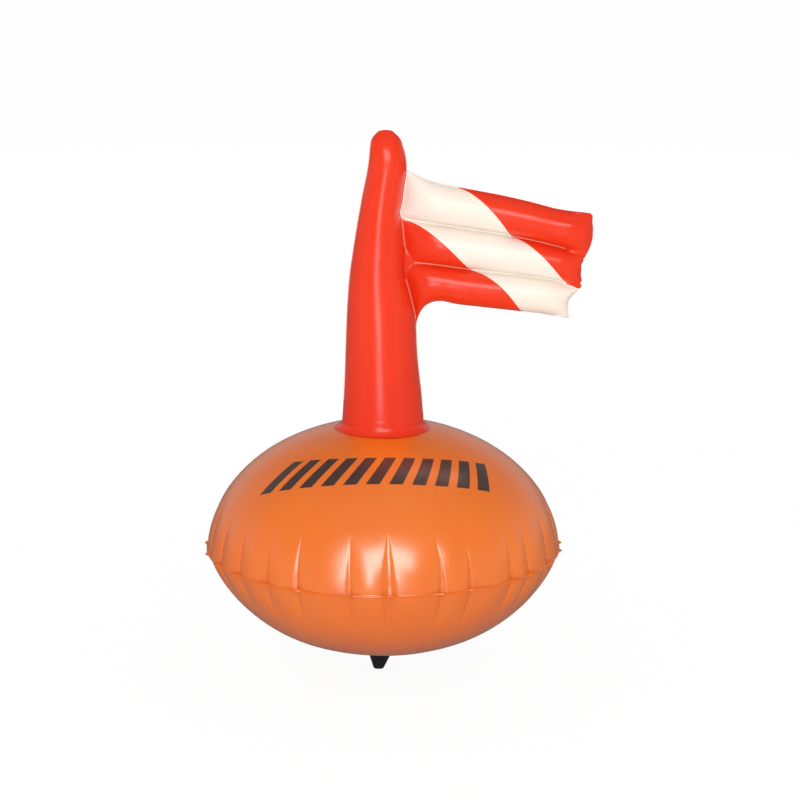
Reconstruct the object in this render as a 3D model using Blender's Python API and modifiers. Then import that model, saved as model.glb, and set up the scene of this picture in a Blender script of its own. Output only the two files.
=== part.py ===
"""Inflatable dive flag float: a round hull, a welded mast and a three-tube flag, all of PVC film.

The origin is the centre of the hull's seam, which lies level with the water. +Z is up, the flag
flies towards +X, and its front faces -Y. All lengths are in metres.
"""

import math

import bmesh
import bpy
import numpy as np
from mathutils import Matrix, Vector

# Film and fits
FILM = 0.0005
GAP = 0.0003
CUT_OVERRUN = 0.004

# Hull: two round panels welded together at the rim
HULL_RADIUS = 0.175
CROWN_HEIGHT = 0.1267
KEEL_DEPTH = 0.0992
CROWN_FALL_SHARE, CROWN_ROUND_SHARE = 1.935, 2.0
KEEL_FALL_SHARE, KEEL_ROUND_SHARE = 1.295, 2.66
RIM_WIDTH = 0.0022
CREASE_DEPTH = 0.0024
CREASE_RISE = 0.046
CREASE_DROP = 0.034
CREASE_DEEPEST = 0.009
CREASE_AT_RIM_SHARE = 0.25
CROWN_RING_SHARES = (0.90, 0.78, 0.66, 0.55, 0.44, 0.34, 0.25, 0.17, 0.105, 0.06, 0.028, 0.0)
KEEL_RING_SHARES = (0.0, 0.035, 0.075, 0.13, 0.20, 0.29, 0.40, 0.53, 0.68, 0.84, 1.0)
# How far round the hull each crease lies from the one before, as parts of one turn
CREASE_STEP_SHARES = (13.1, 12.2, 17.9, 12.4, 17.2, 10.2, 16.9, 8.7, 14.3, 15.1, 12.0, 16.4, 13.0,
                      14.8, 11.6, 15.9, 13.4, 14.1, 12.5, 16.0, 13.7, 11.9, 15.2, 13.3, 14.6, 13.8)
FIRST_CREASE_TURN = math.radians(-53.6)
HULL_FACETS = 2 * len(CREASE_STEP_SHARES)

# Mast: two half tubes welded along their left and right edges
MAST_TOP = 0.4184
MAST_RADIUS = 0.040
WELD_WIDTH = 0.0012
WELD_AT_FOOT_SHARE = 0.25
MAST_FACETS = 12
MAST_ROW_SHARES = (0.0, 0.085, 0.18, 0.28, 0.36, 0.43, 0.485, 0.522, 0.5455, 0.569, 0.615, 0.67,
                   0.718, 0.76, 0.81, 0.86, 0.90, 0.935, 0.962, 0.982, 0.994, 1.0)
# Edge outlines: share of the mast's length, then share of its foot radius
MAST_LEFT_SHARES = ((0.0, -1.0), (0.144, -0.945), (0.25, -0.918), (0.418, -0.865), (0.48, -0.832),
                    (0.605, -0.712), (0.77, -0.512), (0.894, -0.345), (0.93, -0.318),
                    (0.955, -0.30), (0.98, -0.235), (1.0, -0.10))
MAST_RIGHT_SHARES = ((0.0, 1.0), (0.08, 0.955), (0.20, 0.862), (0.26, 0.832), (0.31, 0.82),
                     (0.36, 0.80), (0.41, 0.72), (0.47, 0.61), (0.52, 0.525), (0.58, 0.55),
                     (0.63, 0.515), (0.70, 0.455), (0.718, 0.415), (0.745, 0.46), (0.80, 0.515),
                     (0.894, 0.578), (0.945, 0.50), (0.98, 0.39), (1.0, 0.24))
TIP_ROUND_SHARE = 0.12
INLET_HEIGHT_SHARE = 0.5455
INLET_SPAN = 0.013
INLET_DEPTH = 0.0030

# Collar: the flared foot that joins the mast to the crown
COLLAR_RADIUS = 0.0472
COLLAR_HEIGHT = 0.0092
COLLAR_COVE = 0.0046
COLLAR_COVE_STEPS = 3
COLLAR_FOOT_STEPS = 1
COLLAR_FACETS = 36
PORT_RADIUS = 0.034

# Flag: three tubes between four edges, the hoist on the mast and the fly
FLAG_REACH = 0.206
FLAG_FOOT = 0.226
FLAG_HOIST = 0.1532
HOIST_CLEARANCE = 0.0005
FLAG_WELD_SHARE = 0.03
TUBE_STEPS = 6
PANEL_COLUMNS = 7
END_CROWD_SHARE = 1.5
TUBE_FULLNESS_SHARE = 0.40
HOIST_END = 0.018
FLY_END = 0.028
FLY_SCALLOP_SHARES = (-0.030, -0.012, 0.016)
FLY_SCALLOP_POWER_SHARE = 8.0
PANEL_TIP_SHARE = 0.004
# The welds between the tubes stop short of the fly and leave a way for the air
WELD_STOP_SHARE = 0.88
WELD_PASSAGE_DEPTH = 0.0035
# Flag edges and welds, bottom to top: share of the reach, then share of the hoist
FLAG_RAIL_SHARES = (
    ((0.163, 0.0), (0.172, 0.048), (0.186, 0.09), (0.209, 0.126), (0.240, 0.147), (0.280, 0.153),
     (0.340, 0.136), (0.466, 0.115), (0.642, 0.088), (0.752, 0.0705), (0.886, 0.041)),
    ((0.109, 0.405), (0.142, 0.404), (0.421, 0.358), (0.825, 0.286), (0.944, 0.251)),
    ((0.090, 0.690), (0.137, 0.678), (0.322, 0.640), (0.606, 0.578), (0.772, 0.529),
     (0.966, 0.457)),
    ((0.108, 1.0), (0.140, 0.978), (0.190, 0.948), (0.263, 0.916), (0.350, 0.892), (0.568, 0.836),
     (0.701, 0.795), (0.821, 0.752), (0.988, 0.721)))
HOIST_EASE_SHARE = 3.0
# The white band's two edges at each weld, bottom to top: share along the flag
BAND_LOW_EDGE_SHARES = (0.720, 0.3735, 0.004, -0.400)
BAND_HIGH_EDGE_SHARES = (1.240, 0.912, 0.587, 0.289)
# Between the welds both edges bow out towards the fly, most of all low on each tube
BAND_BOW_SHARE = 0.060
BAND_BOW_SKEW_SHARE = 1.3

# Tether: a welded patch and a moulded lug with an eye
PATCH_RADIUS = 0.032
PATCH_THICKNESS = 0.0006
PATCH_RINGS = 3
LUG_BASE_RADIUS = 0.021
LUG_BASE_THICKNESS = 0.0015
LUG_ROOT_WIDTH = 0.0300
LUG_TIP_WIDTH = 0.0098
LUG_ROOT_DEPTH = 0.0215
LUG_TIP_DEPTH = 0.0160
LUG_LENGTH = 0.0267
LUG_ROOT_LEAN = 0.0023
LUG_TIP_LEAN = 0.0047
LUG_ROUND = 0.0017
LUG_ROUND_STEPS = 2
LUG_FACETS = 28
EYE_RADIUS = 0.0040
EYE_HEIGHT = 0.0122
EYE_FACETS = 16

# Valve: on the rear of the crown, square to the film
VALVE_REACH = 0.095
VALVE_FACETS = 20
VALVE_FLANGE_RADIUS = 0.018
VALVE_FLANGE_THICKNESS = 0.0009
VALVE_FLANGE_RINGS = 3
BOOT_RADIUS = 0.0110
BOOT_WALL = 0.0006
BOOT_DEPTH = 0.0070
STEM_RADIUS = 0.0055
STEM_BORE_RADIUS = 0.0036
STEM_LENGTH = 0.0135
STEM_COLLAR_RADIUS = 0.0064
STEM_COLLAR_THICKNESS = 0.0012
FLAP_RADIUS = 0.0046
FLAP_THICKNESS = 0.0007
PLUG_HEAD_RADIUS = 0.0063
PLUG_HEAD_THICKNESS = 0.0018
PLUG_LENGTH = 0.0055
PLUG_TAPER = 0.0004
PLUG_FIT = 0.0003
STRAP_WIDTH = 0.0026
STRAP_THICKNESS = 0.0007
STRAP_SWING = 0.0024
STRAP_DROP = 0.0034
STRAP_STEPS = 10
SLOPE_STEP_SHARE = 0.001
SEAT_PASSES = 4

MERGE = 0.00005
SHARP_TURN = math.radians(40)
QUARTER_TURN = math.pi / 2
HALF_TURN = math.pi
FULL_TURN = 2 * math.pi

# Where the film's own skins lie on either side of a weld's middle plane
WELD_OUTSIDE = GAP / 2 + FILM


for old in list(bpy.data.objects):
    bpy.data.objects.remove(old, do_unlink=True)

PARTS = bpy.data.collections.new("dive_flag_float")
CUTTERS = bpy.data.collections.new("cutters")
bpy.context.scene.collection.children.link(PARTS)
bpy.context.scene.collection.children.link(CUTTERS)


# Materials
def material(name, colour, roughness, metallic=0.0):
    made = bpy.data.materials.new(name)
    made.use_nodes = True
    shader = made.node_tree.nodes["Principled BSDF"]
    shader.inputs["Base Color"].default_value = (*colour, 1.0)
    shader.inputs["Roughness"].default_value = roughness
    shader.inputs["Metallic"].default_value = metallic
    return made


ORANGE_FILM = material("orange_pvc_film", (0.85, 0.19, 0.03), 0.32)
RED_FILM = material("red_pvc_film", (0.87, 0.06, 0.02), 0.30)
WHITE_FILM = material("white_pvc_film", (0.95, 0.90, 0.82), 0.32)
BLACK_RUBBER = material("black_moulded_pvc", (0.02, 0.02, 0.02), 0.40)


# Objects and modifiers
def add_object(name, mesh, finish, collection=PARTS):
    placed = bpy.data.objects.new(name, mesh)
    placed.data.materials.append(finish)
    collection.objects.link(placed)
    return placed


def finish_mesh(name, shape, smooth=True):
    mesh = bpy.data.meshes.new(name)
    shape.to_mesh(mesh)
    shape.free()
    if smooth:
        mesh.shade_smooth()
        mesh.set_sharp_from_angle(angle=SHARP_TURN)
    return mesh


def baked(source, name):
    """The evaluated mesh of an object, which is then removed."""
    bpy.context.view_layer.update()
    evaluated = source.evaluated_get(bpy.context.evaluated_depsgraph_get())
    mesh = bpy.data.meshes.new_from_object(evaluated)
    mesh.name = name
    bpy.data.objects.remove(source, do_unlink=True)
    return mesh


def profile_mesh(name, points, closed):
    shape = bmesh.new()
    rows = [shape.verts.new((radius, 0, height)) for radius, height in points]
    for first, second in zip(rows, rows[1:]):
        shape.edges.new((first, second))
    if closed:
        shape.edges.new((rows[-1], rows[0]))
    return finish_mesh(name, shape, smooth=False)


def turned(name, points, facets, finish, closed=False):
    """A profile at +X, from top to bottom down its outer side, turned about Z and baked."""
    source = add_object(name, profile_mesh(name, points, closed), finish)
    screw = source.modifiers.new("turn", "SCREW")
    screw.angle = FULL_TURN
    screw.steps = screw.render_steps = facets
    screw.use_merge_vertices = True
    screw.merge_threshold = MERGE
    screw.use_smooth_shade = False
    mesh = baked(source, name)
    mesh.shade_smooth()
    mesh.set_sharp_from_angle(angle=SHARP_TURN)
    return mesh


def thicken(target, thickness):
    """Gives an open skin its wall on the inner side."""
    wall = target.modifiers.new("film", "SOLIDIFY")
    wall.thickness = thickness
    wall.offset = -1.0


def boolean(target, operand, operation):
    operand.hide_render = True
    operand.display_type = "WIRE"
    cut = target.modifiers.new(operation.lower(), "BOOLEAN")
    cut.operation = operation
    cut.solver = "EXACT"
    cut.object = operand


def curve_through(points, at):
    """A smooth height over a rising position, through the points given."""
    places = [place for place, _ in points]
    values = [value for _, value in points]
    slopes = np.gradient(values, places)
    at = min(max(at, places[0]), places[-1])
    k = min(max(int(np.searchsorted(places, at, side="right")) - 1, 0), len(places) - 2)
    step = places[k + 1] - places[k]
    t = (at - places[k]) / step
    rise = values[k + 1] - values[k]
    return (values[k] + slopes[k] * step * t * (1 - t) ** 2 - slopes[k + 1] * step * t * t * (1 - t)
            + rise * t * t * (3 - 2 * t))


# Hull
def dome_height(radius):
    share = min(radius / HULL_RADIUS, 1.0)
    return CROWN_HEIGHT * (1 - share ** CROWN_ROUND_SHARE) ** (1 / CROWN_FALL_SHARE)


def keel_depth(radius):
    share = min(radius / HULL_RADIUS, 1.0)
    return KEEL_DEPTH * (1 - share ** KEEL_ROUND_SHARE) ** (1 / KEEL_FALL_SHARE)


def crown_point(share):
    turn = QUARTER_TURN * share
    return (HULL_RADIUS * math.cos(turn) ** (2 / CROWN_ROUND_SHARE),
            WELD_OUTSIDE + (CROWN_HEIGHT - WELD_OUTSIDE) * math.sin(turn) ** (2 / CROWN_FALL_SHARE))


def keel_point(share):
    turn = QUARTER_TURN * share
    return (HULL_RADIUS * math.cos(turn) ** (2 / KEEL_ROUND_SHARE) if share < 1 else 0.0,
            -WELD_OUTSIDE - (KEEL_DEPTH - WELD_OUTSIDE) * math.sin(turn) ** (2 / KEEL_FALL_SHARE))


def crease_turns():
    """Where each crease lies round the hull, from the front towards the fly side."""
    total = sum(CREASE_STEP_SHARES)
    ends = np.cumsum(CREASE_STEP_SHARES) / total * FULL_TURN
    return np.concatenate(([0.0], ends)) + FIRST_CREASE_TURN


def pucker(mesh):
    """Draws the film in along the creases that the flat rim seam forces into it."""
    turns = crease_turns()
    evenly = np.linspace(0.0, FULL_TURN, len(turns)) + FIRST_CREASE_TURN
    count = len(CREASE_STEP_SHARES)
    for vertex in mesh.vertices:
        radius = math.hypot(vertex.co.x, vertex.co.y)
        if radius < MERGE:
            continue
        even = (math.atan2(vertex.co.x, -vertex.co.y) - FIRST_CREASE_TURN) % FULL_TURN
        turn = np.interp(even + FIRST_CREASE_TURN, evenly, turns)
        wave = (1 + math.cos(even * count)) / 2
        reach = CREASE_RISE if vertex.co.z > 0 else CREASE_DROP
        fade = max(0.0, 1 - (vertex.co.z / reach) ** 2) ** 2
        start = min(1.0, abs(vertex.co.z) / CREASE_DEEPEST)
        radius -= CREASE_DEPTH * wave * fade * max(start, CREASE_AT_RIM_SHARE)
        vertex.co.x = radius * math.sin(turn)
        vertex.co.y = -radius * math.cos(turn)


def rim_rolled(mesh):
    """Turns the rings so that a crease lies on every second one."""
    mesh.transform(Matrix.Rotation(FIRST_CREASE_TURN - QUARTER_TURN, 4, "Z"))


port_turn_share = math.acos(PORT_RADIUS / HULL_RADIUS) / QUARTER_TURN
crown_rings = [share * port_turn_share / CROWN_RING_SHARES[0] for share in CROWN_RING_SHARES]
rim_outside = HULL_RADIUS + RIM_WIDTH

crown_profile = [crown_point(share) for share in crown_rings]
crown_profile.append((rim_outside, WELD_OUTSIDE))
crown_mesh = turned("hull_upper_panel", crown_profile, HULL_FACETS, ORANGE_FILM)
rim_rolled(crown_mesh)
pucker(crown_mesh)
hull_upper_panel = add_object("hull_upper_panel", crown_mesh, ORANGE_FILM)
thicken(hull_upper_panel, FILM)

keel_profile = [(rim_outside, -WELD_OUTSIDE)]
keel_profile += [keel_point(share) for share in KEEL_RING_SHARES]
keel_mesh = turned("hull_lower_panel", keel_profile, HULL_FACETS, ORANGE_FILM)
rim_rolled(keel_mesh)
pucker(keel_mesh)
hull_lower_panel = add_object("hull_lower_panel", keel_mesh, ORANGE_FILM)
thicken(hull_lower_panel, FILM)


# Collar
def collar_profile():
    seat = dome_height(COLLAR_RADIUS) + GAP + FILM
    points = [(MAST_RADIUS, seat + COLLAR_HEIGHT)]
    cove_outside = MAST_RADIUS + COLLAR_COVE
    for k in range(COLLAR_COVE_STEPS + 1):
        turn = QUARTER_TURN * k / COLLAR_COVE_STEPS
        radius = cove_outside - COLLAR_COVE * math.cos(turn)
        lift = COLLAR_COVE * (1 - math.sin(turn))
        points.append((radius, dome_height(radius) + GAP + FILM + lift))
    for k in range(1, COLLAR_FOOT_STEPS + 1):
        radius = cove_outside + (COLLAR_RADIUS - cove_outside) * k / COLLAR_FOOT_STEPS
        points.append((radius, dome_height(radius) + GAP + FILM))
    return points


collar_mesh = turned("mast_collar", collar_profile(), COLLAR_FACETS, RED_FILM)
mast_collar = add_object("mast_collar", collar_mesh, RED_FILM)
thicken(mast_collar, FILM)


# Mast
MAST_FOOT = collar_profile()[0][1] + GAP
MAST_LENGTH = MAST_TOP - WELD_WIDTH - MAST_FOOT


def mast_outside(side, height):
    """X of the mast's left (-1) or right (+1) outline at a height, on the straight run of rows."""
    outline = MAST_LEFT_SHARES if side < 0 else MAST_RIGHT_SHARES
    share = (height - MAST_FOOT) / MAST_LENGTH
    offsets = [curve_through(outline, row) for row in MAST_ROW_SHARES]
    return MAST_RADIUS * float(np.interp(share, MAST_ROW_SHARES, offsets))


def mast_weld(height):
    """Width of the flat weld along the mast's edge, which runs out where the collar grips it."""
    share = (height - MAST_FOOT) / MAST_LENGTH / MAST_ROW_SHARES[1]
    return WELD_WIDTH * min(1.0, WELD_AT_FOOT_SHARE + (1 - WELD_AT_FOOT_SHARE) * share)


def inlet_lift(height):
    """How far each film stands off the middle plane where air passes from mast to flag."""
    middle = MAST_FOOT + MAST_LENGTH * INLET_HEIGHT_SHARE
    reach = abs(height - middle) / INLET_SPAN
    return INLET_DEPTH * max(0.0, 1 - reach) if reach < 1 else 0.0


def mast_panel(name, front):
    """Half of the mast: front is -1 for the half towards -Y and +1 for the rear one."""
    columns = MAST_FACETS + 2
    rows = len(MAST_ROW_SHARES)
    shape = bmesh.new()
    bmesh.ops.create_grid(shape, x_segments=columns, y_segments=rows, size=1)
    shape.verts.ensure_lookup_table()
    for vertex in shape.verts:
        across = round((vertex.co.x + 1) / 2 * columns)
        up = round((vertex.co.y + 1) / 2 * rows)
        tip = up == rows
        share = MAST_ROW_SHARES[min(up, rows - 1)]
        height = MAST_FOOT + MAST_LENGTH * share
        weld = mast_weld(height)
        left, right = mast_outside(-1, height) + weld, mast_outside(1, height) - weld
        half = (right - left) / 2
        past = max(0.0, share - (1 - TIP_ROUND_SHARE)) / TIP_ROUND_SHARE
        depth = (half - WELD_OUTSIDE) * math.sqrt(max(0.0, 1 - past ** 2))
        turn = HALF_TURN * ((across - 1) / MAST_FACETS - 1 / 2)
        lift = inlet_lift(height) if across > columns / 2 else 0.0
        if tip:
            height, depth = MAST_TOP, 0.0
        if across in (0, columns):
            x = left - weld if across == 0 else right + weld
            y = WELD_OUTSIDE + lift
        else:
            x = (left + right) / 2 + half * math.sin(turn)
            y = WELD_OUTSIDE + depth * math.cos(turn)
            y = max(y, WELD_OUTSIDE + lift * max(0.0, math.sin(turn)))
        vertex.co = (x, front * y, height)
    if front > 0:
        bmesh.ops.reverse_faces(shape, faces=shape.faces)
    panel = add_object(name, finish_mesh(name, shape), RED_FILM)
    thicken(panel, FILM)
    return panel


mast_front_panel = mast_panel("mast_front_panel", -1)
mast_rear_panel = mast_panel("mast_rear_panel", 1)


# Flag
def rail_point(rail, along):
    """A point of one flag edge or weld, at a share of its length."""
    places = np.array(FLAG_RAIL_SHARES[rail])
    places = places * (FLAG_REACH, FLAG_HOIST) + (0.0, FLAG_FOOT)
    steps = np.hypot(*np.diff(places, axis=0).T)
    travel = np.concatenate(([0.0], np.cumsum(steps))) / steps.sum()
    return (curve_through(list(zip(travel, places[:, 0])), along),
            curve_through(list(zip(travel, places[:, 1])), along))


def tube_split(level):
    """The tube that a level lies on, how far it is across the chord and its share of the crown."""
    tube = min(int(level), len(FLAG_RAIL_SHARES) - 2)
    share = level - tube
    flat = FLAG_WELD_SHARE
    if share <= flat or share >= 1 - flat:
        return tube, share, 0.0
    turn = HALF_TURN * (share - flat) / (1 - 2 * flat)
    return tube, flat + (1 - 2 * flat) * (1 - math.cos(turn)) / 2, math.sin(turn)


def passage_lift(along):
    """How far the film stands off the middle plane past the ends of the welds."""
    reach = max(0.0, along - WELD_STOP_SHARE) / (1 - WELD_STOP_SHARE)
    return WELD_PASSAGE_DEPTH * math.sin(HALF_TURN * reach)


def flag_point(along, level):
    """The film's outer skin: along runs from hoist to fly, level counts tubes from the bottom."""
    tube, across, crown = tube_split(level)
    low, high = rail_point(tube, along), rail_point(tube + 1, along)
    x = low[0] + (high[0] - low[0]) * across
    z = low[1] + (high[1] - low[1]) * across
    chord = math.hypot(high[0] - low[0], high[1] - low[1])
    start_low, start_high = rail_point(tube, 0.0), rail_point(tube + 1, 0.0)
    start_x = start_low[0] + (start_high[0] - start_low[0]) * across
    start_z = start_low[1] + (start_high[1] - start_low[1]) * across
    hoist_x = mast_outside(1, start_z) + HOIST_CLEARANCE
    x += (hoist_x - start_x) * (1 - along) ** HOIST_EASE_SHARE
    x += (FLAG_REACH * FLY_SCALLOP_SHARES[tube] * math.sin(HALF_TURN * across)
          * along ** FLY_SCALLOP_POWER_SHARE)
    length = FLAG_REACH - hoist_x
    hoist_ramp = (along * length - WELD_WIDTH) / HOIST_END
    fly_ramp = ((1 - along) * length - WELD_WIDTH) / FLY_END
    ramp = min(max(min(hoist_ramp, fly_ramp), 0.0), 1.0)
    full = math.sqrt(1 - (1 - ramp) ** 2)
    lift = inlet_lift(start_z) * (1 - along) ** (2 * FLY_SCALLOP_POWER_SHARE)
    if 0 < level < len(FLAG_RAIL_SHARES) - 1:
        lift = max(lift, passage_lift(along))
    bulge = max(TUBE_FULLNESS_SHARE * chord * crown * full, lift)
    return x, WELD_OUTSIDE + bulge, z


def band_edge(edge, level):
    """Share along the flag of one of the band's edges, at a level counted in tubes."""
    straight = float(np.interp(level, range(len(edge)), edge))
    down = 1 - level % 1
    return straight + BAND_BOW_SHARE * math.sin(HALF_TURN * down ** BAND_BOW_SKEW_SHARE)


def flag_levels():
    """Rows from the bottom edge to the top one, with a flat strip at each weld."""
    levels = [0.0]
    for tube in range(len(FLAG_RAIL_SHARES) - 1):
        for k in range(TUBE_STEPS + 1):
            levels.append(tube + FLAG_WELD_SHARE + (1 - 2 * FLAG_WELD_SHARE) * k / TUBE_STEPS)
        levels.append(tube + 1.0)
    return levels


def panel_row(kind, level):
    """The run of one panel at a level, or None where the panel doesn't reach."""
    slit = GAP / FLAG_REACH
    low = band_edge(BAND_LOW_EDGE_SHARES, level)
    high = band_edge(BAND_HIGH_EDGE_SHARES, level)
    low_cut = low >= PANEL_TIP_SHARE * (1 - slit)
    high_cut = high <= 1 - PANEL_TIP_SHARE * (1 - slit)
    if kind == "hoist":
        return (0.0, low - slit) if low_cut else None
    if kind == "fly":
        return (high + slit, 1.0) if high_cut else None
    return (low + slit if low_cut else 0.0, high - slit if high_cut else 1.0)


def column_share(kind, share):
    """Columns lie closer together at the tubes' rounded ends."""
    if kind == "hoist":
        return share ** END_CROWD_SHARE
    if kind == "fly":
        return 1 - (1 - share) ** END_CROWD_SHARE
    return (1 - math.cos(HALF_TURN * share)) / 2


def flag_panel(name, kind, front, finish):
    runs = [(level, panel_row(kind, level)) for level in flag_levels()]
    runs = [(level, run) for level, run in runs if run]
    rows = len(runs) - 1
    shape = bmesh.new()
    bmesh.ops.create_grid(shape, x_segments=PANEL_COLUMNS, y_segments=rows, size=1)
    for vertex in shape.verts:
        share = column_share(kind, (vertex.co.x + 1) / 2)
        level, (start, end) = runs[round((vertex.co.y + 1) / 2 * rows)]
        x, y, z = flag_point(start + (end - start) * share, level)
        vertex.co = (x, front * y, z)
    if front > 0:
        bmesh.ops.reverse_faces(shape, faces=shape.faces)
    panel = add_object(name, finish_mesh(name, shape), finish)
    thicken(panel, FILM)
    return panel


for side, front in (("front", -1), ("rear", 1)):
    flag_panel("flag_" + side + "_hoist_panel", "hoist", front, RED_FILM)
    flag_panel("flag_" + side + "_stripe", "band", front, WHITE_FILM)
    flag_panel("flag_" + side + "_fly_panel", "fly", front, RED_FILM)


# Tether patch and lug
def keel_disc(radius, offset, rings, thickness):
    """A closed round plate that follows the keel, offset below it."""
    top, bottom = [], []
    for k in range(rings + 1):
        place = radius * k / rings
        level = -keel_depth(place) - offset
        top.append((place, level))
        bottom.append((place, level - thickness))
    return top + bottom[::-1]


patch_mesh = turned("tether_patch", keel_disc(PATCH_RADIUS, GAP, PATCH_RINGS, PATCH_THICKNESS),
                    LUG_FACETS, ORANGE_FILM)
add_object("tether_patch", patch_mesh, ORANGE_FILM)

lug_offset = GAP + PATCH_THICKNESS + GAP
base_mesh = turned("tether_lug", keel_disc(LUG_BASE_RADIUS, lug_offset, PATCH_RINGS,
                                           LUG_BASE_THICKNESS), LUG_FACETS, BLACK_RUBBER)
tether_lug = add_object("tether_lug", base_mesh, BLACK_RUBBER)

lug_root = -KEEL_DEPTH - lug_offset - LUG_BASE_THICKNESS / 2
lug_tip = -KEEL_DEPTH - lug_offset - LUG_LENGTH
nub = bmesh.new()
bmesh.ops.create_cube(nub, size=1)
for vertex in nub.verts:
    at_root = vertex.co.z > 0
    width = LUG_ROOT_WIDTH if at_root else LUG_TIP_WIDTH
    depth = LUG_ROOT_DEPTH if at_root else LUG_TIP_DEPTH
    lean = LUG_ROOT_LEAN if at_root else LUG_TIP_LEAN
    vertex.co = (vertex.co.x * width - lean, vertex.co.y * depth, lug_root if at_root else lug_tip)
nub_object = add_object("lug_nub", finish_mesh("lug_nub", nub), BLACK_RUBBER, CUTTERS)
nub_edges = nub_object.modifiers.new("round", "BEVEL")
nub_edges.width = LUG_ROUND
nub_edges.segments = LUG_ROUND_STEPS
nub_edges.limit_method = "NONE"
boolean(tether_lug, nub_object, "UNION")


def rod(name, radius, length, facets, collection):
    shape = bmesh.new()
    bmesh.ops.create_cone(shape, cap_ends=True, segments=facets, radius1=radius, radius2=radius,
                          depth=length)
    return add_object(name, finish_mesh(name, shape), BLACK_RUBBER, collection)


eye_cutter = rod("eye_cutter", EYE_RADIUS, LUG_ROOT_WIDTH + CUT_OVERRUN, EYE_FACETS, CUTTERS)
eye_cutter.rotation_euler = (0, QUARTER_TURN, 0)
eye_cutter.location = (0, 0, lug_tip + EYE_HEIGHT)
boolean(tether_lug, eye_cutter, "DIFFERENCE")


# Valve, made upright at its own origin and then set square on the crown
def dome_slope(radius):
    step = HULL_RADIUS * SLOPE_STEP_SHARE
    return (dome_height(radius + step) - dome_height(radius - step)) / (2 * step)


valve_normal = Vector((0, -dome_slope(VALVE_REACH), 1)).normalized()
valve_mouth = Vector((0, VALVE_REACH, dome_height(VALVE_REACH)))
valve_tilt = Matrix.Rotation(-math.atan2(valve_normal.y, valve_normal.z), 4, "X")
VALVE_SEAT = Matrix.Translation(valve_mouth) @ valve_tilt


def seat_on_crown(placed):
    placed.matrix_world = VALVE_SEAT


def crown_under(x, y):
    """Height of the crown over the valve's own level plane, at a place on that plane."""
    drop = 0.0
    for _ in range(SEAT_PASSES):
        spot = VALVE_SEAT @ Vector((x, y, drop))
        drop += (dome_height(math.hypot(spot.x, spot.y)) - spot.z) * valve_normal.z
    return drop


def ring_profile(inside, outside, top, bottom, rings=1):
    outer = [(inside + (outside - inside) * k / rings, top) for k in range(rings + 1)]
    return outer + [(radius, bottom) for radius, _ in reversed(outer)]


hole_cutter = rod("valve_hole_cutter", BOOT_RADIUS + GAP, CUT_OVERRUN * 2, VALVE_FACETS, CUTTERS)
seat_on_crown(hole_cutter)
boolean(hull_upper_panel, hole_cutter, "DIFFERENCE")

flange_level = GAP + VALVE_FLANGE_THICKNESS
flange_mesh = turned("valve_flange", ring_profile(BOOT_RADIUS, VALVE_FLANGE_RADIUS, flange_level,
                                                  GAP, VALVE_FLANGE_RINGS),
                     VALVE_FACETS, BLACK_RUBBER, closed=True)
for vertex in flange_mesh.vertices:
    vertex.co.z += crown_under(vertex.co.x, vertex.co.y)
seat_on_crown(add_object("valve_flange", flange_mesh, BLACK_RUBBER))

# The boot hangs from the flange's inner edge and carries the stem on its collar
boot_top = BOOT_RADIUS - GAP
boot_foot = STEM_COLLAR_RADIUS + GAP
boot_profile = [(boot_top, flange_level), (boot_foot + BOOT_WALL, -BOOT_DEPTH),
                (boot_foot, -BOOT_DEPTH), (boot_top - BOOT_WALL, flange_level)]
boot_mesh = turned("valve_boot", boot_profile, VALVE_FACETS, BLACK_RUBBER, closed=True)
seat_on_crown(add_object("valve_boot", boot_mesh, BLACK_RUBBER))

stem_foot = flange_level - STEM_LENGTH
collar_top = -BOOT_DEPTH + STEM_COLLAR_THICKNESS / 2
collar_foot = -BOOT_DEPTH - STEM_COLLAR_THICKNESS / 2
stem_profile = [(STEM_BORE_RADIUS, flange_level), (STEM_RADIUS, flange_level),
                (STEM_RADIUS, collar_top), (STEM_COLLAR_RADIUS, collar_top),
                (STEM_COLLAR_RADIUS, collar_foot), (STEM_RADIUS, collar_foot),
                (STEM_RADIUS, stem_foot), (STEM_BORE_RADIUS, stem_foot)]
stem_mesh = turned("valve_stem", stem_profile, VALVE_FACETS, BLACK_RUBBER, closed=True)
seat_on_crown(add_object("valve_stem", stem_mesh, BLACK_RUBBER))

# The flap's origin lies on its hinge, at the edge nearest the mast
flap_top = stem_foot - GAP
flap_mesh = turned("valve_flap", [(0, flap_top), (FLAP_RADIUS, flap_top),
                                  (FLAP_RADIUS, flap_top - FLAP_THICKNESS),
                                  (0, flap_top - FLAP_THICKNESS)], VALVE_FACETS, BLACK_RUBBER)
flap_hinge = Vector((0, -FLAP_RADIUS, flap_top))
flap_mesh.transform(Matrix.Translation(-flap_hinge))
valve_flap = add_object("valve_flap", flap_mesh, BLACK_RUBBER)
valve_flap.matrix_world = VALVE_SEAT @ Matrix.Translation(flap_hinge)

plug_seat = flange_level + GAP
plug_head = plug_seat + PLUG_HEAD_THICKNESS
plug_radius = STEM_BORE_RADIUS - PLUG_FIT
plug_end = plug_seat - PLUG_LENGTH
plug_profile = [(0, plug_head), (PLUG_HEAD_RADIUS, plug_head), (PLUG_HEAD_RADIUS, plug_seat),
                (plug_radius, plug_seat), (plug_radius - PLUG_TAPER, plug_end), (0, plug_end)]
plug_mesh = turned("valve_plug", plug_profile, VALVE_FACETS, BLACK_RUBBER)
seat_on_crown(add_object("valve_plug", plug_mesh, BLACK_RUBBER))


def strap_path():
    """A bow from the plug's head out and down to the stem, in the plane X = 0 on its far side."""
    top = plug_head - PLUG_HEAD_THICKNESS / 2
    start = PLUG_HEAD_RADIUS + GAP
    end = STEM_RADIUS + GAP
    points = []
    for k in range(STRAP_STEPS + 1):
        share = k / STRAP_STEPS
        radius = start + (end - start) * share + STRAP_SWING * math.sin(HALF_TURN * share)
        points.append((radius, top - STRAP_DROP * share))
    return points


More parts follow.
